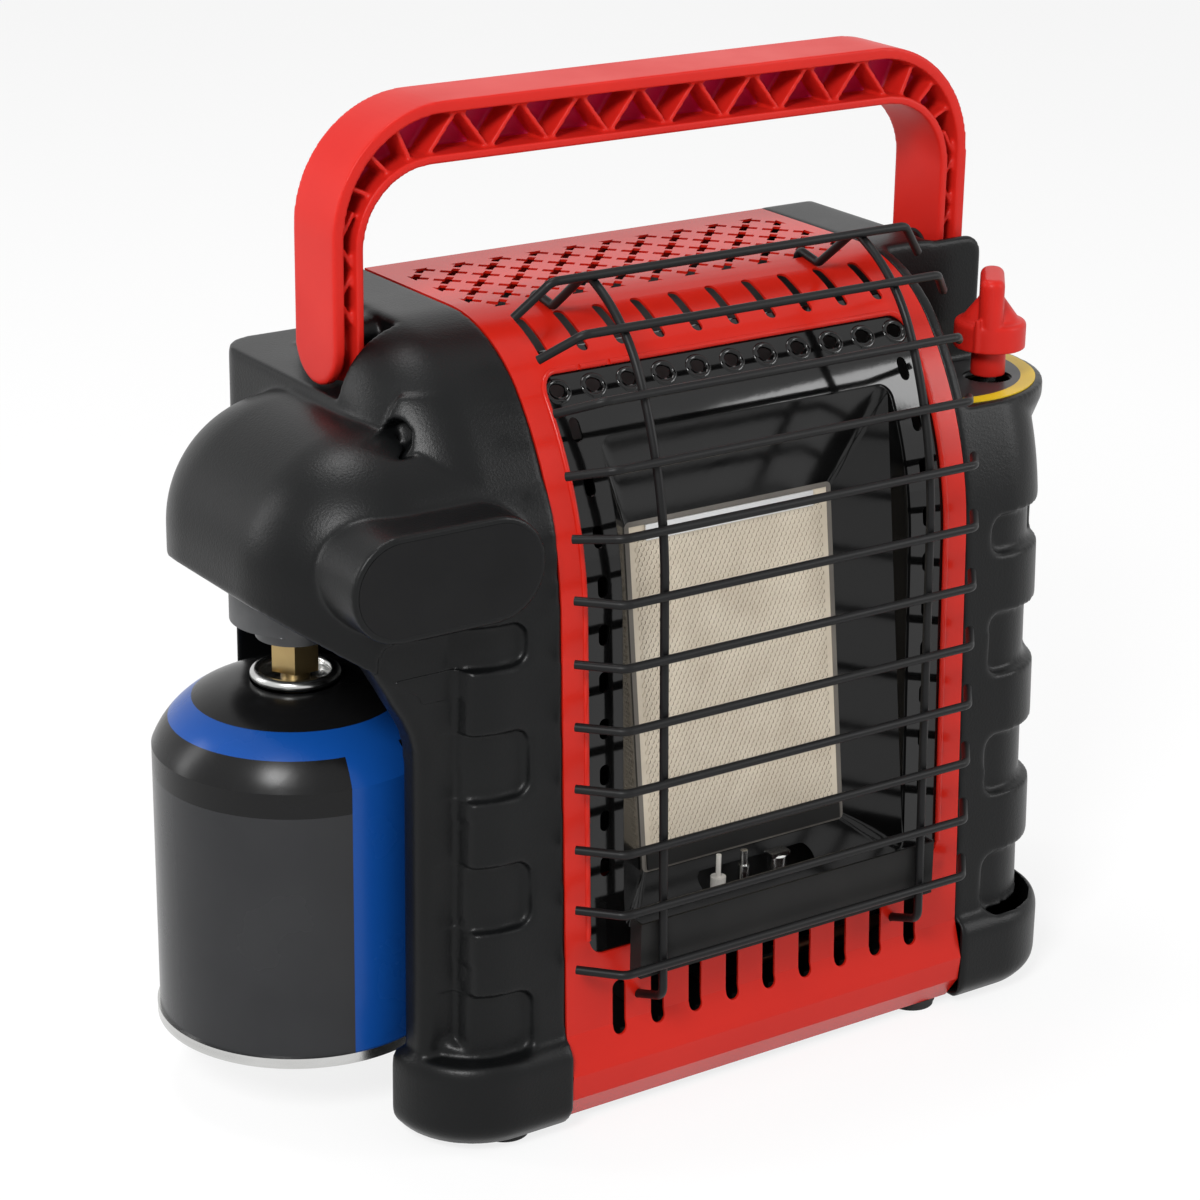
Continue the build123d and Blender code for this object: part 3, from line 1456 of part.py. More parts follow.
# inlet_nut: brass hexagon that the canister's valve screws up into.
with BuildPart() as inlet_nut:
    with BuildSketch(level(nut_low)):
        with Locations((can_x, can_y)):
            RegularPolygon(nut_flats / 2, 6, major_radius=False)
    extrude(amount=nut_height)
    with BuildSketch(level(nut_low)):
        with Locations((can_x, can_y)):
            Circle(thread_radius + running_fit)
    extrude(amount=thread_length + 1, mode=Mode.SUBTRACT)
keep(inlet_nut, "inlet_nut")

with BuildPart() as regulator_bracket:
    bracket_end = can_x - flange_radius
    with BuildSketch(level(flange_top)):
        with Locations(((bracket_end - wrap_half) / 2, can_y)):
            Rectangle(-wrap_half - bracket_end, regulator_arm)
        with Locations((can_x, can_y)):
            Circle(flange_radius - 3, mode=Mode.SUBTRACT)
    extrude(amount=panel)
    with BuildSketch(side_at(-wrap_half)):
        with Locations((can_y, flange_top + regulator_flange / 2)):
            Rectangle(regulator_arm, regulator_flange)
        with Locations((supply_y, supply_z)):
            Circle(tube_hole, mode=Mode.SUBTRACT)
    extrude(amount=-panel)
keep(regulator_bracket, "regulator_bracket")

# ================================================================ gas tubes
wide_bend = 16.0
tight_bend = 5.0


def bent_tube(points, radius, bends):
    """Tube along straight runs joined by tangent arcs."""
    placed = [(x + body_x, y + body_y, z) for x, y, z in points]
    with BuildPart() as tube:
        with BuildLine() as route:
            if len(points) > 2:
                FilletPolyline(*placed, radius=bends)
            else:
                Line(*placed)
        with BuildSketch(Plane(origin=route.line @ 0, z_dir=route.line % 0)):
            Circle(radius)
        sweep(path=route.line)
    return tube.part


with BuildPart() as supply_tube:
    add(bent_tube([(outlet_end, supply_y, supply_z), (knob_x, supply_y, supply_z),
                   (knob_x, knob_y + valve_radius + 5, supply_z)],
                  tube_radius, [wide_bend]))
keep(supply_tube, "supply_tube")

with BuildPart() as burner_tube:
    add(bent_tube([(knob_x, knob_y, valve_low), (knob_x, knob_y, low_tube_z),
                   (venturi_x, knob_y, low_tube_z), (venturi_x, knob_y, jet_foot_z)],
                  tube_radius, [wide_bend, tight_bend]))
keep(burner_tube, "burner_tube")

pilot_turn_x = wrap_half - 33.5
lead_turn_x = pilot_turn_x + 6
with BuildPart() as pilot_tube:
    add(bent_tube([(pilot_port_x, pilot_run_y, valve_low),
                   (pilot_port_x, pilot_run_y, pilot_tube_z),
                   (pilot_turn_x, pilot_run_y, pilot_tube_z),
                   (pilot_turn_x, pilot_y, pilot_tube_z), (pilot_x, pilot_y, pilot_tube_z),
                   (pilot_x, pilot_y, pilot_low)], thin_tube_radius,
                  [12, 10, 10, tight_bend]))
keep(pilot_tube, "pilot_tube")

with BuildPart() as thermocouple_lead:
    add(bent_tube([(lead_port_x, lead_run_y, valve_low), (lead_port_x, lead_run_y, lead_z),
                   (lead_turn_x, lead_run_y, lead_z), (lead_turn_x, pilot_y, lead_z),
                   (probe_x, pilot_y, lead_z),
                   (probe_x, pilot_y, pilot_low - 2)], thin_tube_radius,
                  [12, 10, 10, 8]))
keep(thermocouple_lead, "thermocouple_lead")

# ================================================================ canister
can_plane = Plane(origin=(body_x + can_x, body_y + can_y, 0), x_dir=(1, 0, 0),
                  z_dir=(0, -1, 0))
can_axis = Axis((body_x + can_x, body_y + can_y, 0), (0, 0, 1))
seam_top = can_bottom + 4
shoulder_z = can_bottom + can_height
crest_z = shoulder_z + can_shoulder
shoulder_mid = 41.0          # radius and rise half way up the shoulder's arc
shoulder_rise = 16.5
with BuildPart() as canister_body:
    with BuildSketch(can_plane):
        with BuildLine():
            Polyline((can_radius - can_wall, seam_top), (can_radius, seam_top),
                     (can_radius, shoulder_z))
            ThreePointArc((can_radius, shoulder_z), (shoulder_mid, shoulder_z + shoulder_rise),
                          (can_neck, crest_z))
            Line((can_neck, crest_z), (can_neck, crest_z - can_wall))
            ThreePointArc((can_neck, crest_z - can_wall),
                          (shoulder_mid - can_wall, shoulder_z + shoulder_rise - can_wall),
                          (can_radius - can_wall, shoulder_z - 1))
            Line((can_radius - can_wall, shoulder_z - 1), (can_radius - can_wall, seam_top))
        make_face()
    revolve(axis=can_axis)
keep(canister_body, "canister_body")

with BuildPart() as canister_base:
    dish_half = can_radius - 2.5
    dish_flat = 24.0
    dish_top = can_bottom + 9
    with BuildSketch(can_plane):
        with BuildLine():
            Polyline((0, dish_top), (dish_flat, dish_top), (dish_half, can_bottom + 2),
                     (dish_half, seam_top), (can_rim_radius, seam_top),
                     (can_rim_radius, can_bottom), (dish_half, can_bottom),
                     (dish_flat, dish_top - 1), (0, dish_top - 1), close=True)
        make_face()
    revolve(axis=can_axis)
keep(canister_base, "canister_base")

# canister_collar: rolled bead and dished cup that hold the valve.
with BuildPart() as canister_collar:
    with BuildSketch(can_plane):
        with Locations((can_neck - bead, crest_z + bead)):
            Circle(bead)
        with BuildLine():
            Polyline((thread_radius, crest_z), (can_neck - bead, crest_z),
                     (can_neck - bead, crest_z + 1), (thread_radius, crest_z + 1), close=True)
        make_face()
    revolve(axis=can_axis)
keep(canister_collar, "canister_collar")

with BuildPart() as canister_valve:
    with BuildSketch(level(crest_z - 3)):
        with Locations((can_x, can_y)):
            Circle(thread_radius + 3)
    extrude(amount=3)
    with BuildSketch(level(crest_z)):
        with Locations((can_x, can_y)):
            Circle(thread_radius)
    extrude(amount=nut_low + thread_length - crest_z)
keep(canister_valve, "canister_valve")

# ================================================================ feet and screws
all_feet = [(front_left_foot_x, -foot_inset)] + base_feet
with BuildPart() as rubber_feet:
    with BuildSketch(level(0)):
        with Locations(*all_feet):
            Circle(foot_radius - 0.6)
            Circle(screw_head + 0.5, mode=Mode.SUBTRACT)
    extrude(amount=foot_height / 2)
    with BuildSketch(level(foot_height / 2)):
        with Locations(*all_feet):
            Circle(foot_radius)
            Circle(screw_shank, mode=Mode.SUBTRACT)
    extrude(amount=foot_height / 2)
keep(rubber_feet, "rubber_feet")

with BuildPart() as foot_screws:
    with BuildSketch(level(foot_height / 2)):
        with Locations(*all_feet):
            Circle(screw_head)
    extrude(amount=-foot_height * 0.4)
    with BuildSketch(level(foot_height / 2)):
        with Locations(*all_feet):
            Circle(screw_shank)
    extrude(amount=foot_height / 2 + cap_wall + 1)
keep(foot_screws, "foot_screws")

# cap_screw: at the floor of the left cap's deep recess.
with BuildPart() as cap_screw:
    with BuildSketch(side_at(-recess_floor)):
        with Locations((recess_y, recess_z)):
            Circle(screw_head)
    extrude(amount=-screw_head_height)
    with BuildSketch(side_at(-recess_floor)):
        with Locations((recess_y, recess_z)):
            Circle(screw_shank)
    extrude(amount=recess_floor - base_half + 2)
keep(cap_screw, "cap_screw")

# panel_screws: from inside the case into the caps' posts.
with BuildPart() as panel_screws:
    for side, places in ((-1, left_posts), (1, right_posts)):
        with BuildSketch(side_at(side * base_half)):
            with Locations(*places):
                Circle(screw_head)
        extrude(amount=-side * screw_head_height)
        with BuildSketch(side_at(side * base_half)):
            with Locations(*places):
                Circle(screw_shank)
        extrude(amount=side * (panel + post_bore - 2))
keep(panel_screws, "panel_screws")

with BuildPart() as rear_panel_screws:
    with BuildSketch(front_at(body_rear)):
        with Locations(*rear_screw_places):
            Circle(screw_head)
    extrude(amount=-rear_head)
    with BuildSketch(front_at(body_rear)):
        with Locations(*rear_screw_places):
            Circle(screw_shank)
    extrude(amount=3 * panel)
keep(rear_panel_screws, "rear_panel_screws")
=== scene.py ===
from math import asin, cos, pi, radians, sin, sqrt, tan
import bpy
import bmesh
from mathutils import Vector, Matrix


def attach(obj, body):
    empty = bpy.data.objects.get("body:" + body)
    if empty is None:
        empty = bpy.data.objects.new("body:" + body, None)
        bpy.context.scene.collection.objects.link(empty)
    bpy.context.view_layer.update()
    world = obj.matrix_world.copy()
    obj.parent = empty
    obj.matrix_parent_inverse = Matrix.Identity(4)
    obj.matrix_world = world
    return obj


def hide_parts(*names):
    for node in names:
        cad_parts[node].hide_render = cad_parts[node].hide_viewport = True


# Portable propane heater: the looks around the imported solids. Metres, front towards -Y.
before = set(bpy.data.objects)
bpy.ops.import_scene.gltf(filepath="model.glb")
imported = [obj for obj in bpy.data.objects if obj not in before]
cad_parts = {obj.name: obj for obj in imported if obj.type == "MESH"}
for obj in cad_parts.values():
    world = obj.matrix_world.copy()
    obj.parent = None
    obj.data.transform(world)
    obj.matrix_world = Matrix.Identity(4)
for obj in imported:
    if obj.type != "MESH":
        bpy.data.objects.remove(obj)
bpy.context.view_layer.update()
print("frame loaded")

# where the middle of the red wrap stands in the frame
bodyX = 0.02125
bodyY = -0.0071774


# ---- camera, floor and lamps
cameraSetup = {
    "eye": (-0.675107, -0.970014, 0.612362),
    "right": (0.82756577, -0.56118223, 0.01447044),
    "up": (0.1836614, 0.2950208, 0.9376733),
    "lens": 97.88,
    "sensor": 36.0,
    "near": 0.05,
    "far": 60.0,
}


def makeCamera(setup):
    data = bpy.data.cameras.new("camera")
    data.lens = setup["lens"]
    data.sensor_width = setup["sensor"]
    data.clip_start = setup["near"]
    data.clip_end = setup["far"]
    camera = bpy.data.objects.new("camera", data)
    bpy.context.scene.collection.objects.link(camera)
    right = Vector(setup["right"]).normalized()
    up = Vector(setup["up"]).normalized()
    turned = Matrix((right, up, right.cross(up))).transposed().to_4x4()
    camera.matrix_world = Matrix.Translation(setup["eye"]) @ turned
    bpy.context.scene.camera = camera


makeCamera(cameraSetup)

lampAim = Vector((0.0, 0.0, 0.18))
studio = {
    "key": {"place": (-1.35, -1.05, 1.5), "size": (0.55, 0.55), "power": 36},
    "fill": {"place": (1.5, -1.3, 0.9), "size": (0.45, 1.1), "power": 13},
    "top": {"place": (-0.2, 0.5, 2.1), "size": (0.6, 0.6), "power": 13},
    "edge": {"place": (-1.6, 1.2, 0.9), "size": (0.35, 1.1), "power": 9},
}


def makeLamp(name, lamp):
    data = bpy.data.lights.new(name, "AREA")
    data.shape = "RECTANGLE"
    data.size, data.size_y = lamp["size"]
    data.energy = lamp["power"]
    light = bpy.data.objects.new(name, data)
    light.location = lamp["place"]
    aim = lampAim - Vector(lamp["place"])
    light.rotation_mode = "QUATERNION"
    light.rotation_quaternion = aim.to_track_quat("-Z", "Y")
    bpy.context.scene.collection.objects.link(light)


for lampName, lamp in studio.items():
    makeLamp(lampName, lamp)


def seenRay(tree):
    # 1 for camera, glossy and transmission rays
    path = tree.nodes.new("ShaderNodeLightPath")
    first = tree.nodes.new("ShaderNodeMath")
    first.operation = "MAXIMUM"
    second = tree.nodes.new("ShaderNodeMath")
    second.operation = "MAXIMUM"
    tree.links.new(path.outputs["Is Camera Ray"], first.inputs[0])
    tree.links.new(path.outputs["Is Glossy Ray"], first.inputs[1])
    tree.links.new(first.outputs[0], second.inputs[0])
    tree.links.new(path.outputs["Is Transmission Ray"], second.inputs[1])
    return second.outputs[0]


def makeWorld(ambient):
    world = bpy.data.worlds.new("studio")
    bpy.context.scene.world = world
    world.use_nodes = True
    tree = world.node_tree
    tree.nodes.clear()
    lit = tree.nodes.new("ShaderNodeBackground")
    lit.inputs["Color"].default_value = (1, 1, 1, 1)
    lit.inputs["Strength"].default_value = ambient
    white = tree.nodes.new("ShaderNodeBackground")
    white.inputs["Color"].default_value = (1, 1, 1, 1)
    white.inputs["Strength"].default_value = 1.0
    mix = tree.nodes.new("ShaderNodeMixShader")
    out = tree.nodes.new("ShaderNodeOutputWorld")
    tree.links.new(seenRay(tree), mix.inputs["Fac"])
    tree.links.new(lit.outputs[0], mix.inputs[1])
    tree.links.new(white.outputs[0], mix.inputs[2])
    tree.links.new(mix.outputs[0], out.inputs["Surface"])


ambientLight = 0.5
makeWorld(ambientLight)


floorLook = {
    "radius": 14.0, "mottle": 3.0, "glow": 0.8,
    "colours": ((0.88, 0.88, 0.88, 1), (0.91, 0.91, 0.91, 1)),
}


def makeFloor(look):
    mesh = bpy.data.meshes.new("floor")
    build = bmesh.new()
    bmesh.ops.create_circle(build, cap_ends=True, segments=64, radius=look["radius"])
    build.to_mesh(mesh)
    build.free()
    floor = bpy.data.objects.new("floor", mesh)
    bpy.context.scene.collection.objects.link(floor)
    material = bpy.data.materials.new("paleFloor")
    material.use_nodes = True
    tree = material.node_tree
    tree.nodes.clear()
    noise = tree.nodes.new("ShaderNodeTexNoise")
    noise.inputs["Scale"].default_value = look["mottle"]
    place = tree.nodes.new("ShaderNodeTexCoord")
    shades = tree.nodes.new("ShaderNodeMix")
    shades.data_type = "RGBA"
    for label, colour in zip("AB", look["colours"]):
        shades.inputs[label].default_value = colour
    diffuse = tree.nodes.new("ShaderNodeBsdfDiffuse")
    glow = tree.nodes.new("ShaderNodeEmission")
    glow.inputs["Strength"].default_value = 1.0
    share = tree.nodes.new("ShaderNodeMath")
    share.operation = "MULTIPLY"
    share.inputs[1].default_value = look["glow"]
    mix = tree.nodes.new("ShaderNodeMixShader")
    out = tree.nodes.new("ShaderNodeOutputMaterial")
    tree.links.new(place.outputs["Object"], noise.inputs["Vector"])
    tree.links.new(noise.outputs["Fac"], shades.inputs["Factor"])
    tree.links.new(shades.outputs["Result"], diffuse.inputs["Color"])
    tree.links.new(seenRay(tree), share.inputs[0])
    tree.links.new(share.outputs[0], mix.inputs["Fac"])
    tree.links.new(diffuse.outputs[0], mix.inputs[1])
    tree.links.new(glow.outputs[0], mix.inputs[2])
    tree.links.new(mix.outputs[0], out.inputs["Surface"])
    mesh.materials.append(material)


makeFloor(floorLook)
bpy.context.scene.view_settings.view_transform = "Standard"
print("camera, floor and lamps made")


# ---- shared finishes
def makeGrainGroup():
    # fine grain for bump, and a slow mottle for colour and roughness
    group = bpy.data.node_groups.new("surfaceGrain", "ShaderNodeTree")
    for label, start in (("Grain Scale", 900.0), ("Mottle Scale", 25.0), ("Stretch", 1.0)):
        socket = group.interface.new_socket(label, in_out="INPUT", socket_type="NodeSocketFloat")
        socket.default_value = start
    for label in ("Height", "Mottle"):
        group.interface.new_socket(label, in_out="OUTPUT", socket_type="NodeSocketFloat")
    source = group.nodes.new("NodeGroupInput")
    sink = group.nodes.new("NodeGroupOutput")
    place = group.nodes.new("ShaderNodeTexCoord")
    squeeze = group.nodes.new("ShaderNodeVectorMath")
    squeeze.operation = "MULTIPLY"
    factors = group.nodes.new("ShaderNodeCombineXYZ")
    factors.inputs["X"].default_value = 1.0
    factors.inputs["Y"].default_value = 1.0
    grain = group.nodes.new("ShaderNodeTexNoise")
    grain.inputs["Detail"].default_value = 3.0
    grain.inputs["Roughness"].default_value = 0.6
    mottle = group.nodes.new("ShaderNodeTexNoise")
    mottle.inputs["Detail"].default_value = 4.0
    link = group.links.new
    link(source.outputs["Stretch"], factors.inputs["Z"])
    link(place.outputs["Object"], squeeze.inputs[0])
    link(factors.outputs[0], squeeze.inputs[1])
    link(squeeze.outputs[0], grain.inputs["Vector"])
    link(squeeze.outputs[0], mottle.inputs["Vector"])
    link(source.outputs["Grain Scale"], grain.inputs["Scale"])
    link(source.outputs["Mottle Scale"], mottle.inputs["Scale"])
    link(grain.outputs["Fac"], sink.inputs["Height"])
    link(mottle.outputs["Fac"], sink.inputs["Mottle"])
    return group


grainGroup = makeGrainGroup()


def ramp(tree, source, low, high):
    # spreads a mask between two values
    spread = tree.nodes.new("ShaderNodeMapRange")
    spread.inputs["From Min"].default_value = 0.3
    spread.inputs["From Max"].default_value = 0.7
    spread.inputs["To Min"].default_value = low
    spread.inputs["To Max"].default_value = high
    tree.links.new(source, spread.inputs["Value"])
    return spread.outputs["Result"]


def mixColour(tree, mask, first, second):
    mix = tree.nodes.new("ShaderNodeMix")
    mix.data_type = "RGBA"
    for label, colour in (("A", first), ("B", second)):
        if isinstance(colour, tuple):
            mix.inputs[label].default_value = (*colour, 1)
        else:
            tree.links.new(colour, mix.inputs[label])
    tree.links.new(mask, mix.inputs["Factor"])
    return mix.outputs["Result"]


def makeFinish(name, finish):
    material = bpy.data.materials.new(name)
    material.use_nodes = True
    tree = material.node_tree
    shader = tree.nodes["Principled BSDF"]
    for label, number in finish.get("sockets", {}).items():
        shader.inputs[label].default_value = number
    grain = tree.nodes.new("ShaderNodeGroup")
    grain.node_tree = grainGroup
    grain.inputs["Grain Scale"].default_value = finish.get("grainScale", 900.0)
    grain.inputs["Mottle Scale"].default_value = finish.get("mottleScale", 25.0)
    grain.inputs["Stretch"].default_value = finish.get("stretch", 1.0)
    mask = ramp(tree, grain.outputs["Mottle"], 0.0, 1.0)
    colour = mixColour(tree, mask, finish["colour"], finish["shade"])
    tree.links.new(colour, shader.inputs["Base Color"])
    rough = ramp(tree, grain.outputs["Mottle"], *finish["rough"])
    tree.links.new(rough, shader.inputs["Roughness"])
    bump = tree.nodes.new("ShaderNodeBump")
    bump.inputs["Strength"].default_value = finish.get("bump", 0.3)
    bump.inputs["Distance"].default_value = finish.get("grainDepth", 0.00005)
    tree.links.new(grain.outputs["Height"], bump.inputs["Height"])
    tree.links.new(bump.outputs["Normal"], shader.inputs["Normal"])
    return material


finishes = {
    "redPaint": {
        "colour": (0.47, 0.013, 0.006), "shade": (0.44, 0.011, 0.005), "rough": (0.2, 0.27),
        "grainScale": 420.0, "grainDepth": 0.00003, "bump": 0.12,
        "sockets": {"Specular IOR Level": 0.2},
    },
    "redPlastic": {
        "colour": (0.5, 0.015, 0.009), "shade": (0.46, 0.012, 0.008), "rough": (0.36, 0.44),
        "grainScale": 900.0, "grainDepth": 0.00004, "bump": 0.2,
        "sockets": {"Specular IOR Level": 0.16},
    },
    "handlePlastic": {
        "colour": (0.52, 0.015, 0.009), "shade": (0.47, 0.012, 0.008), "rough": (0.36, 0.44),
        "grainScale": 900.0, "grainDepth": 0.00004, "bump": 0.2,
        "sockets": {"Specular IOR Level": 0.16},
    },
    "blackPlastic": {
        "colour": (0.0022, 0.0024, 0.0026), "shade": (0.0034, 0.0037, 0.0039),
        "rough": (0.31, 0.38), "grainScale": 1000.0, "mottleScale": 18.0,
        "grainDepth": 0.00012, "bump": 0.8, "sockets": {"Specular IOR Level": 0.18},
    },
    "blackEnamel": {
        "colour": (0.0015, 0.0015, 0.0016), "shade": (0.0025, 0.0025, 0.0025),
        "rough": (0.04, 0.09), "grainScale": 120.0, "grainDepth": 0.0001, "bump": 0.14,
        "sockets": {"Specular IOR Level": 0.4},
    },
    "panEnamel": {
        "colour": (0.0015, 0.0015, 0.0016), "shade": (0.0025, 0.0025, 0.0025),
        "rough": (0.08, 0.15), "grainScale": 60.0, "grainDepth": 0.0002, "bump": 0.2,
        "sockets": {"Specular IOR Level": 0.3},
    },
    "wireCoat": {
        "colour": (0.0045, 0.0045, 0.005), "shade": (0.0065, 0.0065, 0.0065), "rough": (0.36, 0.46),
        "grainScale": 1800.0, "grainDepth": 0.00003, "bump": 0.3,
        "sockets": {"Specular IOR Level": 0.18},
    },
    "heatBlack": {
        "colour": (0.01, 0.01, 0.01), "shade": (0.017, 0.0165, 0.016), "rough": (0.45, 0.55),
        "grainScale": 1600.0, "grainDepth": 0.00004, "bump": 0.3,
        "sockets": {"Specular IOR Level": 0.1},
    },
    "zincSteel": {
        "colour": (0.3, 0.305, 0.31), "shade": (0.2, 0.205, 0.21), "rough": (0.34, 0.5),
        "grainScale": 300.0, "mottleScale": 60.0, "sockets": {"Metallic": 1.0},
    },
    "innerSteel": {
        "colour": (0.1, 0.1, 0.1), "shade": (0.06, 0.06, 0.06), "rough": (0.45, 0.6),
        "grainScale": 300.0, "mottleScale": 40.0, "sockets": {"Metallic": 1.0},
    },
    "brightSteel": {
        "colour": (0.62, 0.62, 0.61), "shade": (0.5, 0.5, 0.49), "rough": (0.18, 0.28),
        "grainScale": 500.0, "stretch": 6.0, "sockets": {"Metallic": 1.0}, "bump": 0.15,
    },
    "aluminium": {
        "colour": (0.72, 0.72, 0.72), "shade": (0.6, 0.6, 0.6), "rough": (0.3, 0.45),
        "grainScale": 420.0, "stretch": 8.0, "sockets": {"Metallic": 1.0},
    },
    "brass": {
        "colour": (0.45, 0.33, 0.15), "shade": (0.32, 0.22, 0.1), "rough": (0.28, 0.4),
        "grainScale": 800.0, "sockets": {"Metallic": 1.0},
    },
    "copper": {
        "colour": (0.5, 0.23, 0.14), "shade": (0.34, 0.16, 0.1), "rough": (0.32, 0.45),
        "grainScale": 800.0, "sockets": {"Metallic": 1.0},
    },
    "rubber": {
        "colour": (0.01, 0.01, 0.01), "shade": (0.016, 0.016, 0.016), "rough": (0.62, 0.75),
        "grainScale": 1400.0, "bump": 0.4, "sockets": {"Specular IOR Level": 0.3},
    },
    "ceramic": {
        "colour": (0.62, 0.55, 0.44), "shade": (0.53, 0.46, 0.36), "rough": (0.75, 0.85),
        "grainScale": 1800.0, "mottleScale": 60.0, "grainDepth": 0.0001, "bump": 0.4,
    },
    # painted shade: a dark colour on the tile's hole floors and walls, standing in for the shade
    # deep inside the holes
    "ceramicHoleShade": {
        "colour": (0.09, 0.07, 0.04), "shade": (0.06, 0.045, 0.025), "rough": (0.8, 0.9),
    },
    "castGrey": {
        "colour": (0.05, 0.051, 0.053), "shade": (0.035, 0.036, 0.038), "rough": (0.4, 0.5),
        "grainScale": 600.0, "mottleScale": 80.0, "bump": 0.4,
    },
    "whiteCeramic": {
        "colour": (0.6, 0.58, 0.54), "shade": (0.5, 0.48, 0.44), "rough": (0.35, 0.5),
    },
    "canPaint": {
        "colour": (0.019, 0.0195, 0.021), "shade": (0.023, 0.0235, 0.025), "rough": (0.22, 0.3),
        "grainScale": 900.0, "bump": 0.06, "sockets": {"Specular IOR Level": 0.2},
    },
    "dialPrint": {
        "colour": (0.02, 0.02, 0.021), "shade": (0.026, 0.026, 0.027), "rough": (0.35, 0.45),
        "grainScale": 900.0, "bump": 0.1, "sockets": {"Specular IOR Level": 0.35},
    },
    "badgeSatin": {
        "colour": (0.006, 0.006, 0.0063), "shade": (0.0085, 0.0085, 0.0088), "rough": (0.2, 0.26),
        "grainScale": 1200.0, "bump": 0.12, "sockets": {"Specular IOR Level": 0.1},
    },
    "gasket": {
        "colour": (0.16, 0.145, 0.125), "shade": (0.1, 0.09, 0.08), "rough": (0.8, 0.9),
        "grainScale": 1200.0, "bump": 0.6,
    },
}
materials = {name: makeFinish(name, finish) for name, finish in finishes.items()}


# ---- painted and printed areas, laid over a finish
def mathNode(tree, operation, first, second=0.0):
    node = tree.nodes.new("ShaderNodeMath")
    node.operation = operation
    for index, value in enumerate((first, second)):
        if isinstance(value, (int, float)):
            node.inputs[index].default_value = value
        else:
            tree.links.new(value, node.inputs[index])
    return node.outputs[0]


def placeAround(tree, centre):
    # object coordinates measured from a centre, as three values
    place = tree.nodes.new("ShaderNodeTexCoord")
    shift = tree.nodes.new("ShaderNodeVectorMath")
    shift.operation = "SUBTRACT"
    shift.inputs[1].default_value = centre
    parts = tree.nodes.new("ShaderNodeSeparateXYZ")
    tree.links.new(place.outputs["Object"], shift.inputs[0])
    tree.links.new(shift.outputs[0], parts.inputs[0])
    return parts.outputs["X"], parts.outputs["Y"], parts.outputs["Z"]


def between(tree, value, low, high):
    above = mathNode(tree, "GREATER_THAN", value, low)
    below = mathNode(tree, "LESS_THAN", value, high)
    return mathNode(tree, "MULTIPLY", above, below)


def layPaint(materialName, mask, colour):
    # puts a plain colour over the finish where the mask is 1
    tree = materials[materialName].node_tree
    shader = tree.nodes["Principled BSDF"]
    below = shader.inputs["Base Color"].links[0].from_socket
    tree.links.new(mixColour(tree, mask, below, colour), shader.inputs["Base Color"])


canister = {
    "axis": (-0.1525 + bodyX, 0.029 + bodyY, 0.0),
    "shoulder": 0.1295,
    "band": (0.1495, 0.1572),
    "stripe": (-97.5, -68.0),
    "blue": (0.004, 0.055, 0.26),
    "dark": (0.005, 0.005, 0.0052),
}


def paintCanister(areas):
    tree = materials["canPaint"].node_tree
    alongX, alongY, height = placeAround(tree, areas["axis"])
    angle = mathNode(tree, "ARCTAN2", alongY, alongX)
    layPaint("canPaint", mathNode(tree, "GREATER_THAN", height, areas["shoulder"]), areas["dark"])
    low, high = areas["band"]
    stripe = between(tree, angle, *(radians(side) for side in areas["stripe"]))
    stripe = mathNode(tree, "MULTIPLY", stripe, mathNode(tree, "LESS_THAN", height, high))
    band = between(tree, height, low, high)
    layPaint("canPaint", mathNode(tree, "MAXIMUM", stripe, band), areas["blue"])


paintCanister(canister)

dial = {
    "centre": (0.116 + bodyX, -0.001 + bodyY, 0.0),
    "band": 0.0402,
    "yellow": (0.62, 0.42, 0.012),
}


def paintDial(areas):
    tree = materials["dialPrint"].node_tree
    alongX, alongY, _ = placeAround(tree, areas["centre"])
    squares = mathNode(tree, "ADD", mathNode(tree, "MULTIPLY", alongX, alongX),
                       mathNode(tree, "MULTIPLY", alongY, alongY))
    reach = mathNode(tree, "SQRT", squares)
    layPaint("dialPrint", mathNode(tree, "GREATER_THAN", reach, areas["band"]), areas["yellow"])


paintDial(dial)


# ---- the wrap's outline from the side, for what follows it
wrap = {
    "foot": -0.0682, "lean": radians(2.2), "top": 0.301, "brow": radians(38.0),
    "browRadius": 0.133, "crownRadius": 0.06,
}


def wrapPoint(across, height, out):
    # a point on the wrap's front at a height, moved out along its normal
    brow = wrap["brow"]
    lean = wrap["lean"]
    big = wrap["browRadius"]
    small = wrap["crownRadius"]
    faceTop = wrap["top"] - small * (1 - sin(brow)) - big * (sin(brow) - sin(lean))
    browY = wrap["foot"] + faceTop * tan(lean) + big * cos(lean)
    browZ = faceTop - big * sin(lean)
    crownY = browY - (big - small) * cos(brow)
    crownZ = wrap["top"] - small
    if height < faceTop:
        turn = lean
        place = (wrap["foot"] + height * tan(lean), height)
    elif height < crownZ + small * sin(brow):
        turn = asin((height - browZ) / big)
        place = (browY - big * cos(turn), height)
    else:
        turn = asin(min(1.0, (height - crownZ) / small))
        place = (crownY - small * cos(turn), height)
    return Vector((bodyX + across, bodyY + place[0] - out * cos(turn), place[1] + out * sin(turn)))


# ---- solids whose edges and hollows run softly into each other
def newPiece(name, mesh, finish, body, replaced=()):
    piece = bpy.data.objects.new(name, mesh)
    bpy.context.scene.collection.objects.link(piece)
    mesh.materials.append(materials[finish])
    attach(piece, body)
    if replaced:
        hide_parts(*replaced)
    return piece


def bakeModifiers(piece):
    evaluated = piece.evaluated_get(bpy.context.evaluated_depsgraph_get())
    baked = bpy.data.meshes.new_from_object(evaluated)
    piece.modifiers.clear()
    piece.data = baked
    for face in baked.polygons:
        face.use_smooth = True


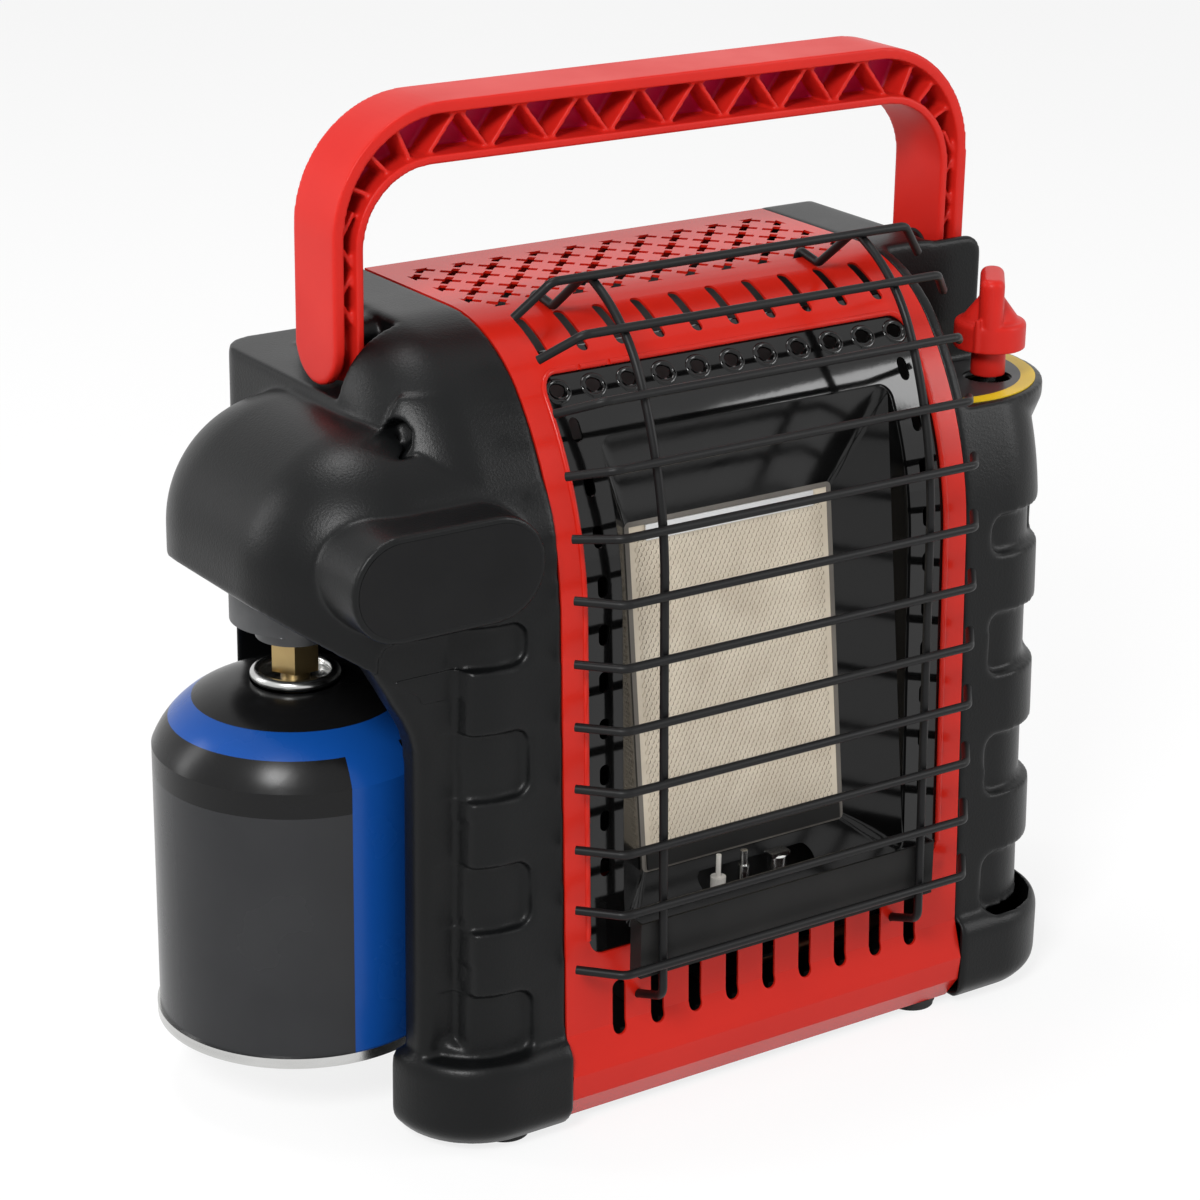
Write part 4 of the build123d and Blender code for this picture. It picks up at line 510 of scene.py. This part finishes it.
def softCopy(name, form):
    # a moulded copy of a solid: evenly meshed, its edges eased by a few smoothing passes
    build = bmesh.new()
    build.from_mesh(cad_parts[form["node"]].data)
    bmesh.ops.remove_doubles(build, verts=build.verts, dist=0.000002)
    if "helper" in form:
        form["helper"](build)
    mesh = bpy.data.meshes.new(name)
    build.to_mesh(mesh)
    build.free()
    piece = newPiece(name, mesh, form["finish"], form["body"], [form["node"]])
    even = piece.modifiers.new("even", "REMESH")
    even.mode = "VOXEL"
    even.voxel_size = form["voxel"]
    if "press" in form:
        bakeModifiers(piece)
        form["press"](piece.data)
    ease = piece.modifiers.new("ease", "SMOOTH")
    ease.factor = 0.5
    ease.iterations = form["passes"]
    thin = piece.modifiers.new("thin", "DECIMATE")
    thin.ratio = form["share"]
    bakeModifiers(piece)
    print(name, len(piece.data.polygons), "faces")


def clipPart(part, planes):
    # cuts a closed part off past each plane and closes it again
    for point, normal in planes:
        everything = part.verts[:] + part.edges[:] + part.faces[:]
        cut = bmesh.ops.bisect_plane(part, geom=everything, plane_co=point, plane_no=normal,
                                     clear_outer=True)["geom_cut"]
        edges = [item for item in cut if isinstance(item, bmesh.types.BMEdge)]
        if edges:
            bmesh.ops.contextual_create(part, geom=edges)


def joinPart(build, part):
    mesh = bpy.data.meshes.new("part")
    part.to_mesh(mesh)
    part.free()
    build.from_mesh(mesh)
    bpy.data.meshes.remove(mesh)


def block(part, low, high):
    # a box between two corners, given from the middle of the wrap
    size = Vector(high) - Vector(low)
    middle = (Vector(high) + Vector(low)) / 2 + Vector((bodyX, bodyY, 0))
    bmesh.ops.create_cube(part, size=1.0,
                          matrix=Matrix.Translation(middle) @ Matrix.Diagonal((*size, 1)))


def post(part, centre, radius, low, high, topRadius=None):
    place = Vector((centre[0] + bodyX, centre[1] + bodyY, (low + high) / 2))
    bmesh.ops.create_cone(part, cap_ends=True, segments=48, radius1=radius,
                          radius2=radius if topRadius is None else topRadius,
                          depth=high - low, matrix=Matrix.Translation(place))


def grow(part, corners, way):
    # a closed slab between a face and its moved copy; gives the first face's edges
    face = part.faces.new([part.verts.new(corner) for corner in corners])
    edges = face.edges[:]
    grown = bmesh.ops.extrude_face_region(part, geom=[face])["geom"]
    moved = [item for item in grown if isinstance(item, bmesh.types.BMVert)]
    bmesh.ops.translate(part, verts=moved, vec=way)
    bmesh.ops.recalc_face_normals(part, faces=part.faces[:])
    return edges


leftFill = {
    "recess": 0.269, "corner": 0.0298, "cornerX": -0.1165,
    "domeTop": [(-0.0385, 0.2605), (-0.0373, 0.262), (-0.0343, 0.264), (-0.0309, 0.266),
                (-0.0272, 0.2675), (-0.0229, 0.269), (-0.019, 0.27), (-0.019, 0.2605)],
    "domeX": (-0.1455, -0.1545), "domeFall": 0.0004,
    "reach": 0.0135, "inner": -0.096, "rear": -0.0205, "slices": 8,
    "web": [(-0.1675, 0.1985), (-0.165, 0.1935), (-0.1617, 0.188), (-0.1585, 0.1828),
            (-0.1553, 0.177), (-0.1513, 0.1705), (-0.1485, 0.1645), (-0.1468, 0.158),
            (-0.1465, 0.15), (-0.1465, 0.03), (-0.1318, 0.03), (-0.1318, 0.214),
            (-0.162, 0.214)],
    "webFront": -0.0502, "webBack": -0.0375, "webEase": 0.0045,
}


def fillLeftCap(build):
    # the screw's bore is closed again past the corner, and a web runs from the dome's rim
    # down into the pillar
    fill = leftFill
    low, high = fill["recess"] - fill["reach"], fill["recess"] + fill["reach"]
    for rounded in (True, False):
        part = bmesh.new()
        if rounded:
            post(part, (fill["cornerX"], fill["corner"]), fill["corner"], low, high)
        else:
            block(part, (fill["cornerX"] - 0.001, 0.0003, low), (fill["inner"], 0.04, high))
        for step in range(1, fill["slices"]):
            level = low + (high - low) * step / fill["slices"]
            bmesh.ops.bisect_plane(part, geom=part.verts[:] + part.edges[:] + part.faces[:],
                                   plane_co=(0, 0, level), plane_no=(0, 0, 1))
        for vert in part.verts:
            vert.co.y += wrapPoint(0.0, vert.co.z, 0.0).y - bodyY
        clipPart(part, [((bodyX + fill["inner"], 0, 0), (1, 0, 0)),
                        ((0, bodyY + fill["rear"], 0), (0, 1, 0))])
        joinPart(build, part)
    part = bmesh.new()
    near, far = fill["domeX"]
    grow(part, [(bodyX + near, bodyY + along, height) for along, height in fill["domeTop"]],
         (far - near, fill["domeFall"], -fill["domeFall"]))
    joinPart(build, part)
    part = bmesh.new()
    rim = grow(part, [(bodyX + across, bodyY + fill["webFront"], height)
                      for across, height in fill["web"]],
               (0, fill["webBack"] - fill["webFront"], 0))
    bmesh.ops.bevel(part, geom=rim, offset=fill["webEase"], segments=4, profile=0.5,
                    affect="EDGES")
    joinPart(build, part)


leftPress = {
    "hole": (-0.1418, -0.0252, 0.2682), "turn": 58.0, "radius": 0.0054,
    "depth": 0.0095, "band": 0.0085,
    "stripEdge": -0.1316, "stripLow": 0.042, "stripHigh": 0.1925, "stripFront": -0.0502,
    "stripReach": -0.066, "stripLeft": 0.08,
}


def pressLeftCap(mesh):
    # sinks the screw's hole, and the pillar's outer strip behind the ribs
    press = leftPress
    centre = Vector(press["hole"]) + Vector((bodyX, bodyY, 0))
    turn = radians(press["turn"])
    inward = Vector((sin(turn), cos(turn), 0))
    side = Vector((cos(turn), -sin(turn), 0))
    for vert in mesh.vertices:
        offset = vert.co - centre
        reach = Vector((offset.dot(side), offset.z)).length
        if reach < press["radius"] and abs(offset.dot(inward)) < press["band"]:
            vert.co += inward * press["depth"]
        front = vert.co.y - bodyY - press["stripFront"]
        if (vert.co.x - bodyX < press["stripEdge"]
                and press["stripLow"] < vert.co.z < press["stripHigh"]
                and press["stripReach"] - press["stripFront"] < front < 0):
            vert.co.y -= front * (1 - press["stripLeft"])


capForms = {
    "leftCap": {"node": "left_end_cap", "body": "case", "finish": "blackPlastic",
                "voxel": 0.0011, "passes": 9, "share": 0.5, "helper": fillLeftCap,
                "press": pressLeftCap},
    "rightCap": {"node": "right_end_cap", "body": "case", "finish": "blackPlastic",
                 "voxel": 0.0011, "passes": 9, "share": 0.5},
}
for pieceName, form in capForms.items():
    softCopy(pieceName, form)

# the web colour below is painted shade for the thin web between the handle's ribs
handleForm = {"node": "handle", "body": "handle_body", "finish": "handlePlastic",
              "voxel": 0.0008, "passes": 4, "share": 0.5,
              "web": 0.0028, "webY": 0.025, "webFacing": 0.6, "webShadeColour": (0.5, 0.006, 0.06)}
softCopy("carryHandle", handleForm)


def paintWebShade(form):
    # painted shade: the thin web between the handle's ribs is coloured darker than its bands,
    # standing in for the shade between the ribs
    tree = materials["handlePlastic"].node_tree
    _, depth, _ = placeAround(tree, (0, form["webY"] + bodyY, 0))
    near = mathNode(tree, "LESS_THAN", mathNode(tree, "ABSOLUTE", depth), form["web"])
    facing = tree.nodes.new("ShaderNodeTexCoord")
    parts = tree.nodes.new("ShaderNodeSeparateXYZ")
    tree.links.new(facing.outputs["Normal"], parts.inputs[0])
    flat = mathNode(tree, "GREATER_THAN", mathNode(tree, "ABSOLUTE", parts.outputs["Y"]),
                    form["webFacing"])
    layPaint("handlePlastic", mathNode(tree, "MULTIPLY", near, flat), form["webShadeColour"])


paintWebShade(handleForm)

knobShape = {
    "axis": (0.134, -0.0215), "ribTurn": -151.6, "ribReach": 0.0139,
    "rib": (0.0012, 0.2612, 0.2745),
    "swells": ((0.0136, 0.2705, 0.275, 0.0085), (0.0105, 0.2735, 0.2815, 0.0045)),
}


def shapeKnob(build):
    # the flange swells up towards the wing, and a small rib marks its edge
    acrossX, acrossY = knobShape["axis"]
    turn = radians(knobShape["ribTurn"])
    reach = knobShape["ribReach"]
    rib = (acrossX + reach * cos(turn), acrossY + reach * sin(turn))
    posts = [(knobShape["axis"], *swell) for swell in knobShape["swells"]]
    posts.append((rib, *knobShape["rib"]))
    for setup in posts:
        part = bmesh.new()
        post(part, *setup)
        joinPart(build, part)


knobForm = {"node": "control_knob", "body": "knob", "finish": "redPlastic",
            "voxel": 0.00045, "passes": 7, "share": 0.6, "helper": shapeKnob}
softCopy("turnKnob", knobForm)

basePan = {
    "skin": (0.0043, 0.0049), "slotY": 0.02, "pitch": 0.012, "length": 0.03, "count": 5,
    "rowGap": 0.01, "overlap": 0.001,
}


def makeBasePan(form):
    # the pan's air slots are closed by a sunk dark skin, a sheet of painted shade standing in for
    # the shadow under the heater
    build = bmesh.new()
    build.from_mesh(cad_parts["base_pan"].data)
    low, high = form["skin"]
    half = form["pitch"] * form["count"] / 2
    reach = form["length"] / 2 + form["overlap"]
    for row in (-1, 1):
        middle = form["slotY"] + row * (form["length"] + form["rowGap"]) / 2
        part = bmesh.new()
        # a dark sheet of painted shade over this row of slots
        block(part, (-half, middle - reach, low), (half, middle + reach, high))
        joinPart(build, part)
    mesh = bpy.data.meshes.new("basePan")
    build.to_mesh(mesh)
    build.free()
    newPiece("basePan", mesh, "heatBlack", "case", ["base_pan"])


makeBasePan(basePan)
print("moulded pieces made")


# ---- burner tile, its face full of fine staggered holes
tile = {
    "foot": (bodyX, -0.0487 + bodyY, 0.0896),
    "lean": radians(7.0),
    "width": 0.092,
    "height": 0.132,
    "thick": 0.013,
    "pitch": 0.00215,
    "web": 0.00031,
    "holeDepth": 0.0018,
    "edge": 0.0022,
    "sink": 0.15,
}


def makeTile(form):
    build = bmesh.new()
    pitch = form["pitch"]
    rowStep = pitch * sqrt(3) / 2
    columns = int((form["width"] - 2 * form["edge"]) / pitch)
    rows = int((form["height"] - 2 * form["edge"]) / rowStep)
    for row in range(rows):
        shift = 0.25 if row % 2 else -0.25
        for column in range(columns):
            across = (column - (columns - 1) / 2 + shift) * pitch
            up = form["height"] / 2 + (row - (rows - 1) / 2) * rowStep
            bmesh.ops.create_circle(build, cap_ends=True, segments=6, radius=pitch / sqrt(3),
                                    matrix=Matrix.Translation((across, up, 0)))
    bmesh.ops.remove_doubles(build, verts=build.verts, dist=0.00005)
    cells = list(build.faces)
    bmesh.ops.inset_individual(build, faces=cells, thickness=form["web"])
    holes = bmesh.ops.extrude_discrete_faces(build, faces=cells)["faces"]
    holeVerts = list({vert for face in holes for vert in face.verts})
    bmesh.ops.translate(build, verts=holeVerts, vec=(0, 0, -form["holeDepth"]))
    # the hole floors and walls get the second material, which is painted shade
    for face in holes:
        face.material_index = 1
        for edge in face.edges:
            for wall in edge.link_faces:
                wall.material_index = 1
    rim = [edge for edge in build.edges if edge.is_boundary]
    skirt = bmesh.ops.extrude_edge_only(build, edges=rim)["geom"]
    skirtVerts = [item for item in skirt if isinstance(item, bmesh.types.BMVert)]
    bmesh.ops.translate(build, verts=skirtVerts, vec=(0, 0, -2 * form["holeDepth"]))
    bmesh.ops.holes_fill(build, edges=[edge for edge in build.edges if edge.is_boundary])
    slab = bmesh.ops.create_cube(build, size=1.0)["verts"]
    top = -form["sink"] * form["holeDepth"]
    bmesh.ops.scale(build, verts=slab,
                    vec=(form["width"], form["height"], form["thick"] + top))
    bmesh.ops.translate(build, verts=slab,
                        vec=(0, form["height"] / 2, (top - form["thick"]) / 2))
    bmesh.ops.recalc_face_normals(build, faces=build.faces)
    stand = Matrix.Translation(form["foot"]) @ Matrix.Rotation(pi / 2 - form["lean"], 4, "X")
    build.transform(stand)
    mesh = bpy.data.meshes.new("burnerTileFace")
    build.to_mesh(mesh)
    build.free()
    newPiece("burnerTileFace", mesh, "ceramic", "case", ["burner_tile"])
    # the second material is painted shade for the holes
    mesh.materials.append(materials["ceramicHoleShade"])


makeTile(tile)
print("burner tile made")


def tubeMesh(name, points, radius, closed=False):
    # a round bar along points
    curve = bpy.data.curves.new(name, "CURVE")
    curve.dimensions = "3D"
    curve.bevel_depth = radius
    curve.bevel_resolution = 3
    curve.use_fill_caps = True
    line = curve.splines.new("POLY")
    line.points.add(len(points) - 1)
    for target, point in zip(line.points, points):
        target.co = (*point, 1)
    line.use_cyclic_u = closed
    bar = bpy.data.objects.new(name, curve)
    mesh = bpy.data.meshes.new_from_object(bar)
    bpy.data.objects.remove(bar)
    for face in mesh.polygons:
        face.use_smooth = True
    return mesh


windowLip = {
    "half": 0.0835, "low": 0.0685, "high": 0.2838, "corner": 0.0072,
    "radius": 0.0011, "sink": -0.0002, "notches": (-0.066, -0.053), "notchHalf": 0.0009,
    "sideSteps": 40, "cornerSteps": 8,
}


def lipOutline(form):
    # the window's edge from its lower left corner round to its lower right, as (across, height)
    half, corner = form["half"], form["corner"]
    outline = []
    steps, bends = form["sideSteps"], form["cornerSteps"]
    for step in range(steps + 1):
        share = step / steps
        outline.append((-half, form["low"] + corner
                        + share * (form["high"] - form["low"] - 2 * corner)))
    for step in range(1, bends + 1):
        turn = pi / 2 * step / bends
        outline.append((-half + corner - corner * cos(turn),
                        form["high"] - corner + corner * sin(turn)))
    for notch in form["notches"]:
        outline.append((notch - form["notchHalf"], form["high"]))
        outline.append((notch + form["notchHalf"], form["high"]))
    outline.append((0.0, form["high"]))
    mirrored = [(-across, height) for across, height in reversed(outline[:steps + bends + 1])]
    return outline + mirrored


def makeWindowLip(form):
    outline = lipOutline(form)
    gaps = [(notch - form["notchHalf"], form["high"]) for notch in form["notches"]]
    runs = [[]]
    for place in outline:
        runs[-1].append(wrapPoint(place[0], place[1], form["sink"]))
        if place in gaps:
            runs.append([])
    for index, run in enumerate(runs):
        name = f"windowLip{index + 1}"
        newPiece(name, tubeMesh(name, run, form["radius"]), "redPaint", "case")


makeWindowLip(windowLip)

dimples = {
    "count": 11, "pitch": 2 * 0.067 / 8.7, "height": 0.278, "wide": 0.0046, "tall": 0.0052,
    "radius": 0.0011, "sink": -0.0015, "flat": 0.62, "steps": 24,
}


def makeDimples(form):
    # pressed rims round the holes along the reflector's upper edge
    for index in range(form["count"]):
        middle = (index - (form["count"] - 1) / 2) * form["pitch"]
        ring = []
        for step in range(form["steps"]):
            turn = 2 * pi * step / form["steps"]
            rise = form["tall"] * sin(turn) * form["flat"]
            ring.append(wrapPoint(middle + form["wide"] * cos(turn), form["height"] + rise,
                                  form["sink"]))
        name = f"holeRim{index + 1}"
        newPiece(name, tubeMesh(name, ring, form["radius"], True), "blackEnamel", "case")


makeDimples(dimples)
print("window lip and pressed rims made")

# ---- finishes of the solids that stay as they are
nodeFinish = {
    "redPaint": ["front_shell", "rear_panel"],
    "redPlastic": ["handle", "control_knob"],
    "blackPlastic": ["left_end_cap", "right_end_cap", "tilt_switch"],
    "blackEnamel": ["reflector_surround"],
    "panEnamel": ["reflector_pan"],
    "castGrey": ["regulator_body"],
    "wireCoat": ["guard_rods", "guard_crossbars", "cap_screw", "panel_screws",
                 "rear_panel_screws", "foot_screws"],
    "heatBlack": ["guard_plate", "base_pan", "tile_clip_bottom"],
    "innerSteel": ["left_side_panel", "right_side_panel", "rear_heat_shield", "heat_deflector",
                   "burner_box", "valve_bracket", "pilot_bracket", "jet_bracket",
                   "venturi_tube"],
    "zincSteel": ["regulator_bracket", "regulator_bonnet"],
    "brightSteel": ["handle_pivots", "valve_stem", "canister_base", "canister_collar",
                    "pilot_burner", "thermocouple", "pilot_tube"],
    "aluminium": ["tile_clip_top"],
    "brass": ["inlet_nut", "gas_valve_body", "valve_plug", "valve_bonnet", "orifice_holder",
              "canister_valve"],
    "copper": ["supply_tube", "burner_tube", "thermocouple_lead"],
    "rubber": ["rubber_feet", "handle_washers"],
    "ceramic": ["burner_tile"],
    "whiteCeramic": ["igniter_electrode"],
    "canPaint": ["canister_body"],
    "dialPrint": ["dial_plate"],
    "badgeSatin": ["badge_plate"],
    "gasket": ["tile_gasket"],
}
for finishName, nodeNames in nodeFinish.items():
    for nodeName in nodeNames:
        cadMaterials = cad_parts[nodeName].data.materials
        cadMaterials.clear()
        cadMaterials.append(materials[finishName])
print("finishes laid on the solids")
